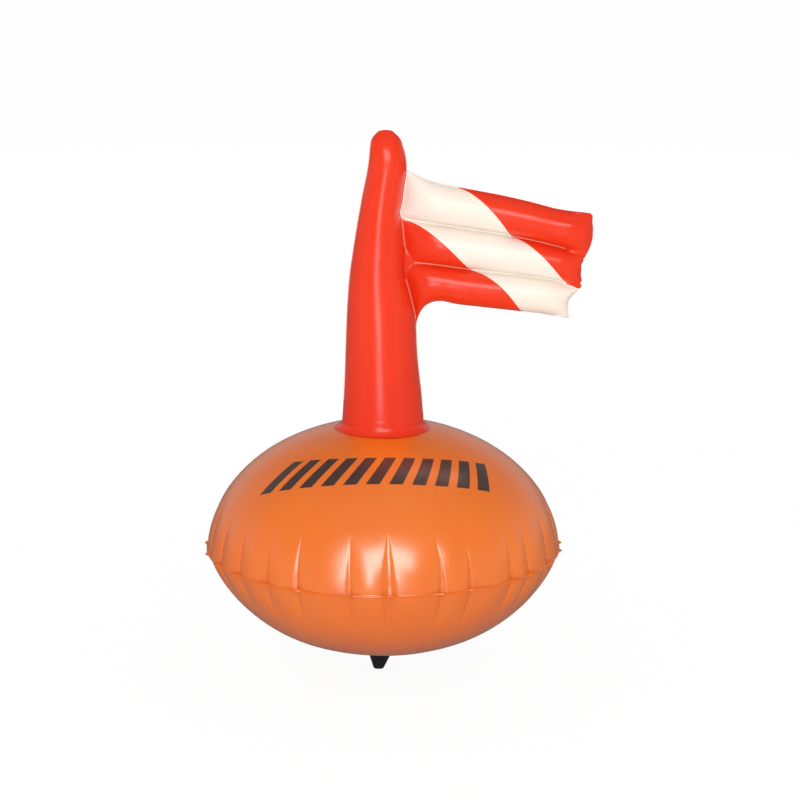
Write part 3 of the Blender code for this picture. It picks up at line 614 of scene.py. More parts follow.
def mast_skin(front):
    """Outer skin of one half of the mast: front is -1 towards the camera and +1 behind."""
    rows = np.linspace(0, 0.90, MAST_ROWS, endpoint=False)
    shares = np.concatenate([[-MAST_TUCK / MAST_LENGTH], rows, np.linspace(0.90, 1, TIP_ROWS)])
    heights = MAST_FOOT + MAST_LENGTH * shares
    turn = math.pi * (np.linspace(0, 1, MAST_COLUMNS) - 0.5)
    middle, swell, reach = mast_section(heights, turn)
    past = np.clip(shares - (1 - TIP_SHARE), 0, None)[:, None] / TIP_SHARE
    depth = (swell - WELD_HALF) * np.sqrt(np.clip(1 - past ** 3, 0, None))
    lift = inlet_lift(heights)[:, None]
    y = WELD_HALF + np.maximum(depth * np.cos(turn), lift * np.clip(np.sin(turn), 0, None))
    left_edge, right_edge = (mast_outside(side, heights)[:, None] for side in (-1, 1))
    x = np.concatenate([left_edge, middle + reach * np.sin(turn), right_edge], 1)
    edge_y = np.full_like(lift, WELD_HALF)
    y = np.concatenate([edge_y, y, edge_y + lift], 1)
    points = np.stack(np.broadcast_arrays(x, front * y, heights[:, None]), -1)
    tip = points[-1].copy()
    tip[:, 2] = MAST_TOP - TIP_DIP * ((tip[:, 0] - TIP_MIDDLE) / TIP_HALF) ** 2
    points = np.concatenate([points, tip[None]])
    points += mast_slack(points, middle, front)
    return points[::-1] if front < 0 else points


def mast_slack(points, middle, front):
    """Long soft waves that the film keeps from its folds, none of them at the welds."""
    x, y, z = np.moveaxis(points, -1, 0)
    out = np.stack([x - np.append(middle, middle[-1])[:, None], y, np.zeros_like(x)], -1)
    size = np.linalg.norm(out, axis=-1, keepdims=True) + 1e-6
    waves = wobble(points * WAVE_STRETCH, WAVE_SIZE, 21 + front) * WAVE_DEPTH
    away = growing(np.abs(y), 0, 0.008) * growing(z, MAST_FOOT + 0.016, 0.03)
    return out / size * (waves * away)[..., None]


RED_LIGHT, RED_DEEP = (0.825, 0.039, 0.008), (0.790, 0.031, 0.006)
RED_FILM = film_material("red_pvc_film", RED_LIGHT, RED_DEEP, 0.26, 0.35)

for side, front in SIDES:
    mast_film = film_piece("mast_" + side + "_film", mast_skin(front), RED_FILM, flip=True)
    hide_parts("mast_" + side + "_panel")
    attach(mast_film, "float")


# Mast welds: fused lines up both edges. Beside the flag the line stops where air passes through.
# Each run has a side, -1 for the left edge and 1 for the right one, and the heights of its ends.
def finished(tree, shape, finish):
    """The end of a geometry tree: the shape gets its material and goes out."""
    dressed = node(tree, "GeometryNodeSetMaterial", {"Geometry": shape, "Material": finish})
    node(tree, "NodeGroupOutput", {"Geometry": dressed.outputs["Geometry"]})


def bead_tree():
    """Geometry Nodes that sweep a round bead along an edge path, with a dot at each open end."""
    tree = bpy.data.node_groups.new("weld_bead", "GeometryNodeTree")
    interface(tree, {"Geometry": "Geometry", "Radius": 0.0005, "Dot Swell": 1.7,
                     "Dot Length": 0.0016, "Finish": "Material"}, {"Geometry": "Geometry"})
    entry = node(tree, "NodeGroupInput").outputs
    path = node(tree, "GeometryNodeMeshToCurve", {"Mesh": entry["Geometry"]}).outputs["Curve"]
    spot = node(tree, "GeometryNodeSplineParameter").outputs["Length"]
    whole = node(tree, "GeometryNodeSplineLength").outputs["Length"]
    nearest = maths(tree, "MINIMUM", spot, maths(tree, "SUBTRACT", whole, spot))
    swell = scaled(tree, nearest, 0.0, entry["Dot Length"], entry["Dot Swell"], 1.0)
    section = node(tree, "GeometryNodeCurvePrimitiveCircle", {"Resolution": 10, "Radius": 1.0})
    swept = node(tree, "GeometryNodeCurveToMesh", {
        "Curve": path, "Profile Curve": section.outputs["Curve"], "Fill Caps": True,
        "Scale": maths(tree, "MULTIPLY", swell, entry["Radius"])})
    smooth = node(tree, "GeometryNodeSetShadeSmooth", {"Geometry": swept.outputs["Mesh"]})
    finished(tree, smooth.outputs["Geometry"], entry["Finish"])
    return tree


def settled(piece):
    """Takes the shape that the piece's modifiers give it, and removes them."""
    bpy.context.view_layer.update()
    shown = piece.evaluated_get(bpy.context.evaluated_depsgraph_get())
    piece.data = bpy.data.meshes.new_from_object(shown)
    piece.data.name = piece.name
    piece.modifiers.clear()


def grown(name, mesh, tree, **values):
    """The mesh as a Geometry Nodes tree makes it, with the tree's inputs set by name."""
    source = in_scene(name, mesh)
    maker = source.modifiers.new(tree.name, "NODES")
    maker.node_group = tree
    for item in tree.interface.items_tree:
        if item.item_type == "SOCKET" and item.in_out == "INPUT" and item.name in values:
            maker[item.identifier] = values[item.name]
    settled(source)
    return source


BEAD_TREE = bead_tree()


def bead(name, paths, radius, finish, closed=False, swell=1.7):
    """A fused weld line along each of the paths given, arrays of points."""
    points, edges = [], []
    for path in paths:
        first = len(points)
        points += path.tolist()
        edges += [(k, k + 1) for k in range(first, len(points) - 1)]
        if closed:
            edges.append((len(points) - 1, first))
    mesh = bpy.data.meshes.new(name)
    mesh.from_pydata(points, edges, [])
    return grown(name, mesh, BEAD_TREE, **{"Radius": radius, "Dot Swell": swell,
                                           "Dot Length": 0.0016, "Finish": finish})


# The red weld beads' pale pink is partly the whitened fused film and partly a painted highlight along
# the weld line.
RED_BEAD_PAINTED_GLINT = film_material("red_fused_weld_and_painted_highlight", (0.98, 0.34, 0.230), (0.97, 0.28, 0.180), 0.20, 0.4)
WELD_BEAD = 0.00045
MAST_WELD_RUNS = ((-1, 0.150, 0.406), (1, 0.148, 0.226), (1, 0.2325, 0.2790),
                  (1, 0.2945, 0.3345), (1, 0.382, 0.406))


def mast_line(side, low, high, front):
    heights = np.linspace(low, high, 60)
    inset = 0.0005 if side < 0 else 0.0002
    x = mast_outside(side, heights) - side * inset
    return np.stack([x, np.full_like(x, front * (WELD_HALF + 0.0001)), heights], -1)


for side, front in SIDES:
    runs = [mast_line(*run, front) for run in MAST_WELD_RUNS]
    mast_bead = bead("mast_" + side + "_weld", runs, WELD_BEAD, RED_BEAD_PAINTED_GLINT)
    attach(mast_bead, "float")


# Collar: the mast's foot, drawn out into a flared skirt that is welded flat on the crown round the
# air port. It is the same red film, a little thinner where it is drawn out.
COLLAR_RADIUS, COLLAR_COVE, COLLAR_RISE, COLLAR_LAP = 0.0472, 0.0062, 0.0085, 0.012
COLLAR_FILM, COLLAR_WALL, COLLAR_TURNS = 0.0004, 0.0003, 160
COLLAR_PROUD, COLLAR_FEATHER, COLLAR_DROOP = 0.0005, 0.00025, 0.0001
COLLAR_WAVES = ((0.0005, 3, 0.6), (0.0003, 7, 0.0))


def dome_height(radius):
    return CROWN_HEIGHT * (1 - (radius / HULL_RADIUS) ** CROWN_ROUND) ** (1 / CROWN_FALL)


def collar_skin():
    """Rows run from a feather edge in the mast's foot, down the flare and out over the crown."""
    turns = even_turns(COLLAR_TURNS)
    flare_top = dome_height(MAST_RADIUS) + COLLAR_FILM + COLLAR_RISE
    lap = np.linspace(0, 1, 16)[:, None]
    heights = MAST_FOOT + COLLAR_LAP + (flare_top - MAST_FOOT - COLLAR_LAP) * lap
    middle, swell, reach = mast_section(heights[:, 0], turns)
    proud = COLLAR_PROUD * lap - COLLAR_FEATHER
    rounded = lap ** 2 * (3 - 2 * lap)
    x = (middle + (reach + proud) * np.sin(turns)) * (1 - rounded)
    y = -(swell + proud) * np.cos(turns) * (1 - rounded)
    x, y = x + MAST_RADIUS * np.sin(turns) * rounded, y - MAST_RADIUS * np.cos(turns) * rounded
    flare_edge = MAST_RADIUS + COLLAR_COVE
    cove = np.linspace(0, math.pi / 2, 18)[1:]
    rim = np.linspace(0, 1, 5)[1:]
    radii = np.append(flare_edge - COLLAR_COVE * np.cos(cove),
                      flare_edge + (COLLAR_RADIUS - flare_edge) * rim)[:, None]
    above = np.append(COLLAR_RISE * (1 - np.sin(cove)), -COLLAR_DROOP * rim)[:, None]
    wave = sum(depth * np.sin(count * turns + shift) for depth, count, shift in COLLAR_WAVES)
    spread = radii + wave * (radii - MAST_RADIUS) / (COLLAR_RADIUS - MAST_RADIUS)
    flare = turned(spread, turns, dome_height(radii) + COLLAR_FILM + above)
    return np.concatenate([np.stack(np.broadcast_arrays(x, y, heights), -1), flare])


collar_film = film_piece("mast_collar_film", collar_skin(), RED_FILM, wrap=True,
                         wall=COLLAR_WALL, rim=False)
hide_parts("mast_collar")
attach(collar_film, "float")


# Flag: two film walls welded round the outside and along two lines, which makes three air tubes.
# The white band is let into the red film, and its straight edges follow the tubes' swell.
FLAG_REACH, FLAG_FOOT, FLAG_HOIST = 0.206, 0.226, 0.1532
FLAG_RAILS = (
    ((0.163, 0.0), (0.172, 0.048), (0.186, 0.09), (0.209, 0.126), (0.240, 0.147), (0.280, 0.153),
     (0.340, 0.136), (0.466, 0.115), (0.642, 0.088), (0.752, 0.0705), (0.886, 0.041)),
    ((0.109, 0.405), (0.142, 0.404), (0.421, 0.358), (0.825, 0.286), (0.944, 0.251)),
    ((0.090, 0.690), (0.137, 0.678), (0.322, 0.640), (0.606, 0.578), (0.772, 0.529),
     (0.966, 0.457)),
    ((0.108, 1.0), (0.140, 0.978), (0.190, 0.948), (0.263, 0.916), (0.350, 0.892), (0.568, 0.836),
     (0.701, 0.795), (0.821, 0.752), (0.988, 0.721)))
FLAG_WELD_SHARE, FLAG_EDGE = 0.028, 0.0012
TUBE_FULLNESS, TUBE_ROUND, HOIST_END, FLY_END = 0.38, 1.15, 0.040, 0.026
FLY_SCALLOPS = (-0.030, -0.012, 0.016)
WELD_STOP, WELD_PASSAGE = 0.88, 0.0035
BAND_LOW, BAND_HIGH = (0.720, 0.3735, 0.004, -0.400), (1.240, 0.912, 0.587, 0.289)
BAND_BOW, BAND_SKEW = 0.060, 1.3
TUBE_ROWS, PANEL_COLUMNS = 34, 72


def rail_points(rail, along):
    places = np.array(FLAG_RAILS[rail]) * (FLAG_REACH, FLAG_HOIST) + (0.0, FLAG_FOOT)
    steps = np.hypot(*np.diff(places, axis=0).T)
    travel = np.concatenate(([0.0], np.cumsum(steps))) / steps.sum()
    return (through(np.stack([travel, places[:, 0]], -1), along),
            through(np.stack([travel, places[:, 1]], -1), along))


def flag_skin_points(along, level):
    """Outer skin of the flag's front, at shares along it and levels counted in tubes."""
    tube = np.clip(level.astype(int), 0, 2)
    share = level - tube
    flat = FLAG_WELD_SHARE
    turn = math.pi * growing(share, flat, 1 - 2 * flat)
    inside = (share > flat) & (share < 1 - flat)
    across = np.where(inside, flat + (1 - 2 * flat) * (1 - np.cos(turn)) / 2, share)
    crown = np.where(inside, np.sin(turn) ** TUBE_ROUND, 0.0)

    def over_tube(places):
        """From the tube's lower rail to its upper one: where it starts and goes, in x and z."""
        rails = [rail_points(rail, places) for rail in range(len(FLAG_RAILS))]
        low, high = (np.array([np.choose(tube + k, [rail[axis] for rail in rails])
                               for axis in (0, 1)]) for k in (0, 1))
        return low, high - low

    low, chord = over_tube(along)
    x, z = low + chord * across
    hoist_low, hoist_chord = over_tube(np.zeros_like(along))
    start_x, start_z = hoist_low + hoist_chord * across
    hoist_x = mast_outside(1, start_z) + 0.0001
    x = x + (hoist_x - start_x) * (1 - along) ** 3
    x = x + FLAG_REACH * np.choose(tube, FLY_SCALLOPS) * np.sin(math.pi * across) * along ** 8
    run = FLAG_REACH - hoist_x
    hoist = np.sin(math.pi / 2 * growing(along * run, FLAG_EDGE, HOIST_END))
    fly = growing((1 - along) * run, FLAG_EDGE, FLY_END)
    full = hoist * np.sqrt(1 - (1 - fly) ** 2)
    bulge = TUBE_FULLNESS * np.hypot(*chord) * crown * full
    passage = growing(along, WELD_STOP, 1 - WELD_STOP)
    inner = (level > 0) & (level < 3)
    lift = np.maximum(inlet_lift(start_z) * (1 - along) ** 16,
                      WELD_PASSAGE * np.sin(math.pi * passage) * inner)
    return np.stack([x, -(WELD_HALF + np.maximum(bulge, lift)), z], -1), crown, full


PLEATS = ((9.0, 0.9, 0.0009), (26.0, 1.6, 0.0004))
PLEAT_REACH, PLEAT_LEAST = 0.16, 0.12
GATHER_DEPTH, GATHER_REACH, CRIMP_DEPTH = 0.0022, 0.10, 0.0026


def flag_creases(points, along, level, crown, full, seed):
    """Small pleats that run out from the welds and gather at the fly, where the film is shortened."""
    def field(run, climb, layer, shift):
        places = np.stack([along * run, level * climb, np.full_like(along, layer)], -1)
        return wobble(places, 1.0, seed + shift)

    share = level - np.clip(level.astype(int), 0, 2)
    beside_weld = np.exp(-np.minimum(share, 1 - share) / PLEAT_REACH)
    pleats = sum(field(run, climb, seed + 4 * k, k) * depth
                 for k, (run, climb, depth) in enumerate(PLEATS))
    gathers = field(2.0, 8.0, 0, 2) * GATHER_DEPTH * np.exp((along - 1) / GATHER_REACH)
    depth = (pleats * (PLEAT_LEAST + (1 - PLEAT_LEAST) * beside_weld) + gathers) * full
    crimps = wobble(np.stack([level * 6.5, level * 0, np.full_like(level, seed)], -1), 1.0, 9)
    points = points.copy()
    points[..., 0] += CRIMP_DEPTH * crimps * along ** 40
    points[..., 1] = np.minimum(points[..., 1] - depth * np.clip(crown * 3, 0, 1), -WELD_HALF)
    return points


def flag_levels():
    rows = np.append(np.linspace(FLAG_WELD_SHARE, 1 - FLAG_WELD_SHARE, TUBE_ROWS), 1.0)
    return np.concatenate([[0.0], rows, 1 + rows, 2 + rows])


def band_run(edge, level):
    """Share along the flag of one band edge, bowed towards the fly between the welds."""
    down = 1 - level % 1.0
    return np.interp(level, range(4), edge) + BAND_BOW * np.sin(math.pi * down ** BAND_SKEW)


def flag_panel(name, kind, front, finish):
    """One film panel of the flag, between the band's edges and the flag's own ends."""
    levels = flag_levels()
    low, high = np.clip(band_run(BAND_LOW, levels), 0, 1), np.clip(band_run(BAND_HIGH, levels), 0, 1)
    start, end = {"hoist": (0 * low, low), "band": (low, high), "fly": (high, 0 * high + 1)}[kind]
    kept = end - start > 0.0005
    levels, start, end = levels[kept], start[kept], end[kept]
    share = np.linspace(0, 1, PANEL_COLUMNS)
    share = {"hoist": share ** 1.5, "band": (1 - np.cos(math.pi * share)) / 2,
             "fly": 1 - (1 - share) ** 1.5}[kind]
    along = start[:, None] + (end - start)[:, None] * share
    level = np.broadcast_to(levels[:, None], along.shape)
    points, crown, full = flag_skin_points(along, level)
    points = flag_creases(points, along, level, crown, full, 31 if front < 0 else 47)
    if front > 0:
        points[..., 1] *= -1
    film = film_piece(name, points, finish, flip=front > 0)
    film.data.flip_normals()
    return film


WHITE_LIGHT, WHITE_DEEP = (0.885, 0.795, 0.700), (0.850, 0.735, 0.625)
WHITE_FILM = film_material("white_pvc_film", WHITE_LIGHT, WHITE_DEEP, 0.34, 0.15)

for side, front in SIDES:
    for kind, part, finish, slot in (("hoist", "hoist_panel", RED_FILM, "mast_film"),
                                     ("band", "stripe", WHITE_FILM, "band_film"),
                                     ("fly", "fly_panel", RED_FILM, "mast_film")):
        panel = flag_panel("flag_" + side + "_" + kind + "_film", kind, front, finish)
        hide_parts("flag_" + side + "_" + part)
        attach(panel, "float")


# Flag welds: two fused lines between the tubes on each side, in a paler tint of the film they cross.
# They start a little way from the mast and stop short of the fly.
# The beads' paler tint is partly the whitened fused film and partly a painted highlight along the weld
# line.
WHITE_BEAD_PAINTED_GLINT = film_material("white_fused_weld_and_painted_highlight", (0.98, 0.96, 0.92), (0.97, 0.93, 0.88), 0.20, 0.3)
FLAG_WELDS = ((1, 0.052, WELD_STOP), (2, 0.012, WELD_STOP))


def flag_line(level, start, end, front):
    along = np.linspace(start, end, 90)
    points = flag_skin_points(along, np.full_like(along, level))[0]
    points[:, 1] = front * np.abs(points[:, 1] + 0.0001)
    return points


for side, front in SIDES:
    red_runs, white_runs = [], []
    for level, start, end in FLAG_WELDS:
        low, high = max(band_run(BAND_LOW, level), start), min(band_run(BAND_HIGH, level), end)
        white_runs.append(flag_line(level, low, high, front))
        red_runs += [flag_line(level, a, b, front) for a, b in ((start, low), (high, end))
                     if b - a > 0.01]
    for colour, runs, finish, slot in (("red", red_runs, RED_BEAD_PAINTED_GLINT, "mast_film"),
                                       ("white", white_runs, WHITE_BEAD_PAINTED_GLINT, "band_film")):
        flag_bead = bead("flag_" + side + "_" + colour + "_weld", runs, WELD_BEAD, finish, swell=1.4)
        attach(flag_bead, "float")


# Tether patch: a disc of the hull's film, welded under the keel to spread the lug's pull.
PATCH_RADIUS, PATCH_OFFSET, PATCH_FILM = 0.032, 0.0003, 0.0006
PATCH_FACETS, PATCH_WELDS = 160, (0.0308, 0.0280)


def keel_depth(radius):
    return KEEL_DEPTH * (1 - np.minimum(radius / HULL_RADIUS, 1.0) ** KEEL_ROUND) ** (1 / KEEL_FALL)


def softened(points, radius):
    """An open outline with its inner corners rounded off."""
    points = [np.array(point, float) for point in points]
    soft = [points[0]]
    for before, corner, after in zip(points, points[1:], points[2:]):
        back, on = before - corner, after - corner
        reach = min(radius, np.linalg.norm(back) / 2, np.linalg.norm(on) / 2)
        a = corner + back / np.linalg.norm(back) * reach
        b = corner + on / np.linalg.norm(on) * reach
        for t in np.linspace(0, 1, 4):
            soft.append(a * (1 - t) ** 2 + 2 * corner * t * (1 - t) + b * t * t)
    soft.append(points[-1])
    return soft


def lathe(name, profile, finish, facets=96, ring=False, place=None, drape=None):
    """An outline (radius, height) turned about Z, down its outer side; a ring's outline closes."""
    radii, heights = np.array(profile).T[:, :, None]
    points = turned(radii, even_turns(facets), heights)
    if drape is not None:
        points[..., 2] += drape(points[..., 0], points[..., 1])
    if ring:
        points = np.concatenate([points, points[:1]])
    return solid_piece(name, points, finish, place)


def keel_disc(radius, offset, thickness, edge):
    """The outline of a plate that follows the keel: top from its centre out, then back below."""
    above = [(r, -keel_depth(r) - offset) for r in np.linspace(0, radius, 12)]
    below = [(r, -keel_depth(r) - offset - thickness) for r in np.linspace(radius - edge, 0, 12)]
    return above + [(radius, above[-1][1] - thickness / 2)] + below


patch = lathe("tether_patch_film", keel_disc(PATCH_RADIUS, PATCH_OFFSET, PATCH_FILM, 0.0004),
              ORANGE_FILM, facets=PATCH_FACETS)
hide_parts("tether_patch")
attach(patch, "float")
patch_rings = [turned(radius, even_turns(PATCH_FACETS),
                      -keel_depth(radius) - PATCH_OFFSET - PATCH_FILM) for radius in PATCH_WELDS]
patch_bead = bead("tether_patch_weld", patch_rings, 0.0003, ORANGE_EDGE, closed=True, swell=1.0)
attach(patch_bead, "float")


# Tether lug: one moulding of soft black PVC, a round base plate that draws in to a blunt tongue.
# The tongue leans a little to the left and has an eye through it for the line.
LUG_BASE_RADIUS, LUG_BASE_THICKNESS = 0.021, 0.0015
LUG_OFFSET, LUG_LENGTH = 0.0012, 0.0267
LUG_SEAT = -KEEL_DEPTH - LUG_OFFSET
LUG_ROOT, LUG_TIP = (0.0300, 0.0215, -0.0023), (0.0098, 0.0160, -0.0047)
LUG_ROUND, EYE_RADIUS, EYE_HEIGHT, EYE_FLARE = 0.0016, 0.0040, 0.0122, 0.0011
LUG_SIDES, LUG_SQUARE = 128, 4.8
LUG_BASE_RINGS, LUG_BASE_SIDE, LUG_BASE_EDGE = (0.00001, 0.007, 0.014, 0.021), 0.0009, 0.0004
LUG_FILLET, LUG_FILLET_WAIST = 0.0012, (0.97, 0.97, 1.0)
EYE_FLAT, EYE_FLARES, EYE_MOUTH = 0.0062, 0.0034, 0.006


def moulded_material(name, colour, gloss, grain):
    """Black moulded PVC: a fine mould grain, and faint flow marks that lighten its tone and change its
    gloss at random.
    """
    made = bpy.data.materials.new(name)
    made.use_nodes = True
    tree = made.node_tree
    place = node(tree, "ShaderNodeTexCoord").outputs["Object"]
    flow, mould = (node(tree, "ShaderNodeTexNoise", {"Vector": place, "Scale": scale,
                                                     "Detail": detail}).outputs["Fac"]
                   for scale, detail in ((140.0, 4.0), (2600.0, 2.0)))
    bump = node(tree, "ShaderNodeBump", {"Distance": grain, "Height": mould})
    pale = [1.6 * part for part in colour]
    wire(tree, tree.nodes["Principled BSDF"], {
        "Base Color": toned(tree, flow, (0.35, colour), (0.75, pale)), "IOR": 1.5,
        "Roughness": scaled(tree, flow, 0.0, 1.0, gloss - 0.06, gloss + 0.10),
        "Normal": bump.outputs["Normal"]})
    return made


BLACK_LUG = moulded_material("black_glossy_pvc", (0.013, 0.013, 0.015), 0.20, 0.00002)


def lug_row(width, depth, shift, height, power):
    """One ring round the lug: an ellipse at power 2 and nearly a rectangle at high powers."""
    turns = even_turns(LUG_SIDES)
    c, sn = np.cos(turns), np.sin(turns)
    size = (np.abs(sn) ** power + np.abs(c) ** power) ** (-1 / power)
    return np.stack([shift + width / 2 * sn * size, -depth / 2 * c * size,
                     np.full_like(turns, height)], -1)


def lug_rows():
    """Rings from the base plate's centre on the keel, round its rim and down the tongue."""
    wide = 2 * LUG_BASE_RADIUS
    rows = [lug_row(2 * radius, 2 * radius, 0, -keel_depth(radius) - LUG_OFFSET, 2)
            for radius in LUG_BASE_RINGS]
    edge = -keel_depth(LUG_BASE_RADIUS) - LUG_OFFSET
    under = edge - LUG_BASE_THICKNESS
    drawn = wide - 2 * LUG_BASE_EDGE
    rows.append(lug_row(wide, wide, 0, edge - LUG_BASE_SIDE, 2))
    rows.append(lug_row(drawn, drawn, 0, under, 2))
    base, tip = LUG_SEAT - LUG_BASE_THICKNESS, LUG_SEAT - LUG_LENGTH
    root, end = np.array(LUG_ROOT), np.array(LUG_TIP)
    start = np.array((wide - 4 * LUG_BASE_EDGE, wide - 4 * LUG_BASE_EDGE, 0.0))
    for share in np.linspace(0, 1, 8):
        ring = start + (root * LUG_FILLET_WAIST - start) * (1 - (1 - share) ** 2)
        level = under + (base - LUG_FILLET - under) * share ** 2
        rows.append(lug_row(*ring, level, 2 + (LUG_SQUARE - 2) * share))
    for share in np.linspace(0.06, 1, 26):
        ring, level = root + (end - root) * share, base + (tip - base) * share
        near_tip = max(0.0, tip + LUG_ROUND - level) / LUG_ROUND
        inset = 2 * LUG_ROUND * (1 - math.sqrt(max(0.0, 1 - near_tip ** 2)))
        rows.append(lug_row(ring[0] - inset, ring[1] - inset, ring[2], level, LUG_SQUARE))
    for shrink in (0.55, 0.25, 0.0001):
        across, deep = (end[:2] - 2 * LUG_ROUND) * shrink
        rows.append(lug_row(across, deep, end[2], tip, LUG_SQUARE))
    return np.array(rows)


lug = solid_piece("tether_lug_moulding", lug_rows(), BLACK_LUG)
eye_reach = LUG_ROOT[0]
eye_outline = [(0, -eye_reach)]
for out in np.linspace(-1, 1, 41):
    flare = EYE_FLARE * max(0.0, (abs(out) * eye_reach - EYE_FLAT) / EYE_FLARES) ** 2
    eye_outline.append((EYE_RADIUS + min(flare, EYE_MOUTH), out * eye_reach))
eye_outline.append((0, eye_reach))
eye_middle = (LUG_TIP[2] / 2 + LUG_ROOT[2] / 2, 0, LUG_SEAT - LUG_LENGTH + EYE_HEIGHT)
eye_place = Matrix.Translation(eye_middle) @ Matrix.Rotation(math.pi / 2, 4, "Y")
eye_tool = lathe("eye_tool", eye_outline[::-1], BLACK_LUG, facets=64, place=eye_place)
bored = lug.modifiers.new("eye", "BOOLEAN")
bored.operation, bored.solver, bored.object = "DIFFERENCE", "EXACT", eye_tool
settled(lug)
bpy.data.objects.remove(eye_tool, do_unlink=True)
lug.data.shade_smooth()
lug.data.set_sharp_from_angle(angle=SHARP_TURN)
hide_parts("tether_lug")
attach(lug, "float")


# Valve: a push-in inflation valve on the rear of the crown, square to the film, of soft black PVC.
# The flange is welded on; a thin boot carries the stem, which pulls out to be blown into.
BLACK_VALVE = moulded_material("black_soft_pvc", (0.026, 0.026, 0.028), 0.30, 0.00003)
FLANGE_RADIUS, FLANGE_TOP, FLANGE_SEAT = 0.018, 0.0012, 0.0003
BOOT_RADIUS, BOOT_DEPTH, BOOT_WALL, BOOT_FOOT, BOOT_LAP = 0.0110, 0.0070, 0.0006, 0.0067, 0.0003
BOOT_FOLDS, BOOT_FOLD = 3, 0.00035
STEM_RADIUS, STEM_BORE, STEM_LENGTH = 0.0055, 0.0036, 0.0135
STEM_COLLAR, STEM_COLLAR_HALF = 0.0064, 0.0006
FLAP_RADIUS, FLAP_THICKNESS = 0.0046, 0.0007
PLUG_RADIUS, PLUG_THICKNESS, PLUG_SEAT = 0.0063, 0.0018, 0.0015
PLUG_LENGTH, PLUG_SHANK = 0.0055, 0.0033


def dome_slope(radius):
    step = HULL_RADIUS * 0.001
    return (dome_height(radius + step) - dome_height(radius - step)) / (2 * step)


valve_axis = Vector((0, -dome_slope(VALVE_REACH), 1)).normalized()
VALVE_SEAT = (Matrix.Translation((0, VALVE_REACH, dome_height(VALVE_REACH)))
              @ Matrix.Rotation(-math.atan2(valve_axis.y, valve_axis.z), 4, "X"))


def crown_under(x, y):
    """Height of the crown over the valve's own level plane, at places on that plane."""
    seat = np.array(VALVE_SEAT)
    drop = np.zeros_like(x)
    for _ in range(4):
        spots = np.stack([x, y, drop], -1) @ seat[:3, :3].T + seat[:3, 3]
        crown = dome_height(np.hypot(spots[..., 0], spots[..., 1]))
        drop = drop + (crown - spots[..., 2]) * valve_axis.z
    return drop


RIBS_START, RIBS_END, RIB_PITCH, RIB_RISE = 0.0128, 0.0172, 0.0011, 0.00022
flange_radii = np.linspace(BOOT_RADIUS, FLANGE_RADIUS - 0.0005, 61)
ribs = RIB_RISE * np.maximum(0.0, np.sin(FULL_TURN * (flange_radii - RIBS_START) / RIB_PITCH))
ribs *= (flange_radii > RIBS_START) & (flange_radii < RIBS_END)
flange_outline = list(zip(flange_radii, FLANGE_TOP + ribs))
flange_outline += [(FLANGE_RADIUS - 0.0001, FLANGE_TOP - 0.0003),
                   (FLANGE_RADIUS, FLANGE_SEAT + 0.0002), (FLANGE_RADIUS, FLANGE_SEAT),
                   (BOOT_RADIUS, FLANGE_SEAT)]
flange = lathe("valve_flange_moulding", flange_outline, BLACK_VALVE, facets=128, ring=True,
               place=VALVE_SEAT, drape=crown_under)
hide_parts("valve_flange")
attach(flange, "float")

boot_mouth, boot_top = BOOT_RADIUS + BOOT_LAP, FLANGE_TOP - BOOT_LAP
outside = []
for share in np.linspace(0, 1, 25):
    fold = BOOT_FOLD * math.sin(BOOT_FOLDS * FULL_TURN * share)
    outside.append((boot_mouth + (BOOT_FOOT + BOOT_WALL - boot_mouth) * share + fold,
                    boot_top - (boot_top + BOOT_DEPTH) * share))
inside = [(radius - BOOT_WALL, height) for radius, height in outside]
boot = lathe("valve_boot_film", outside + inside[::-1], BLACK_VALVE, ring=True, place=VALVE_SEAT)
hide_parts("valve_boot")
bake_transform(boot)

stem_foot = FLANGE_TOP - STEM_LENGTH
stem_outline = softened([
    (STEM_BORE, stem_foot), (STEM_BORE, FLANGE_TOP), (STEM_RADIUS, FLANGE_TOP),
    (STEM_RADIUS, STEM_COLLAR_HALF - BOOT_DEPTH), (STEM_COLLAR, STEM_COLLAR_HALF - BOOT_DEPTH),
    (STEM_COLLAR, -STEM_COLLAR_HALF - BOOT_DEPTH), (STEM_RADIUS, -STEM_COLLAR_HALF - BOOT_DEPTH),
    (STEM_RADIUS, stem_foot), (STEM_BORE + 0.0001, stem_foot)], 0.0004)
stem = lathe("valve_stem_moulding", stem_outline, BLACK_VALVE, ring=True, place=VALVE_SEAT)
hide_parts("valve_stem")
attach(stem, "valve")

flap_top = stem_foot - FLANGE_SEAT
flap_outline = softened([(0, flap_top), (FLAP_RADIUS, flap_top),
                         (FLAP_RADIUS, flap_top - FLAP_THICKNESS),
                         (0, flap_top - FLAP_THICKNESS)], 0.0003)
flap = lathe("valve_flap_moulding", flap_outline, BLACK_VALVE, place=VALVE_SEAT)
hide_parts("valve_flap")
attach(flap, "flap")


# Plug: the cap that closes the stem, with grip ribs round its head and a strap that keeps it.
def rib_tree():
    """Geometry Nodes that set a number of small upright ribs evenly round a circle."""
    tree = bpy.data.node_groups.new("ring_of_ribs", "GeometryNodeTree")
    interface(tree, {"Geometry": "Geometry", "Count": 24, "Ring Radius": "Float",
                     "Rib Radius": "Float", "Rib Height": "Float", "Finish": "Material"},
              {"Geometry": "Geometry"})
    entry = node(tree, "NodeGroupInput").outputs
    ring = node(tree, "GeometryNodeMeshCircle", {"Vertices": entry["Count"],
                                                 "Radius": entry["Ring Radius"]})
    rib = node(tree, "GeometryNodeMeshCylinder", {
        "Vertices": 12, "Radius": entry["Rib Radius"], "Depth": entry["Rib Height"]})
    stand = node(tree, "GeometryNodeInstanceOnPoints", {"Points": ring.outputs["Mesh"],
                                                        "Instance": rib.outputs["Mesh"]})
    real = node(tree, "GeometryNodeRealizeInstances", {"Geometry": stand.outputs["Instances"]})
    finished(tree, real.outputs["Geometry"], entry["Finish"])
    return tree


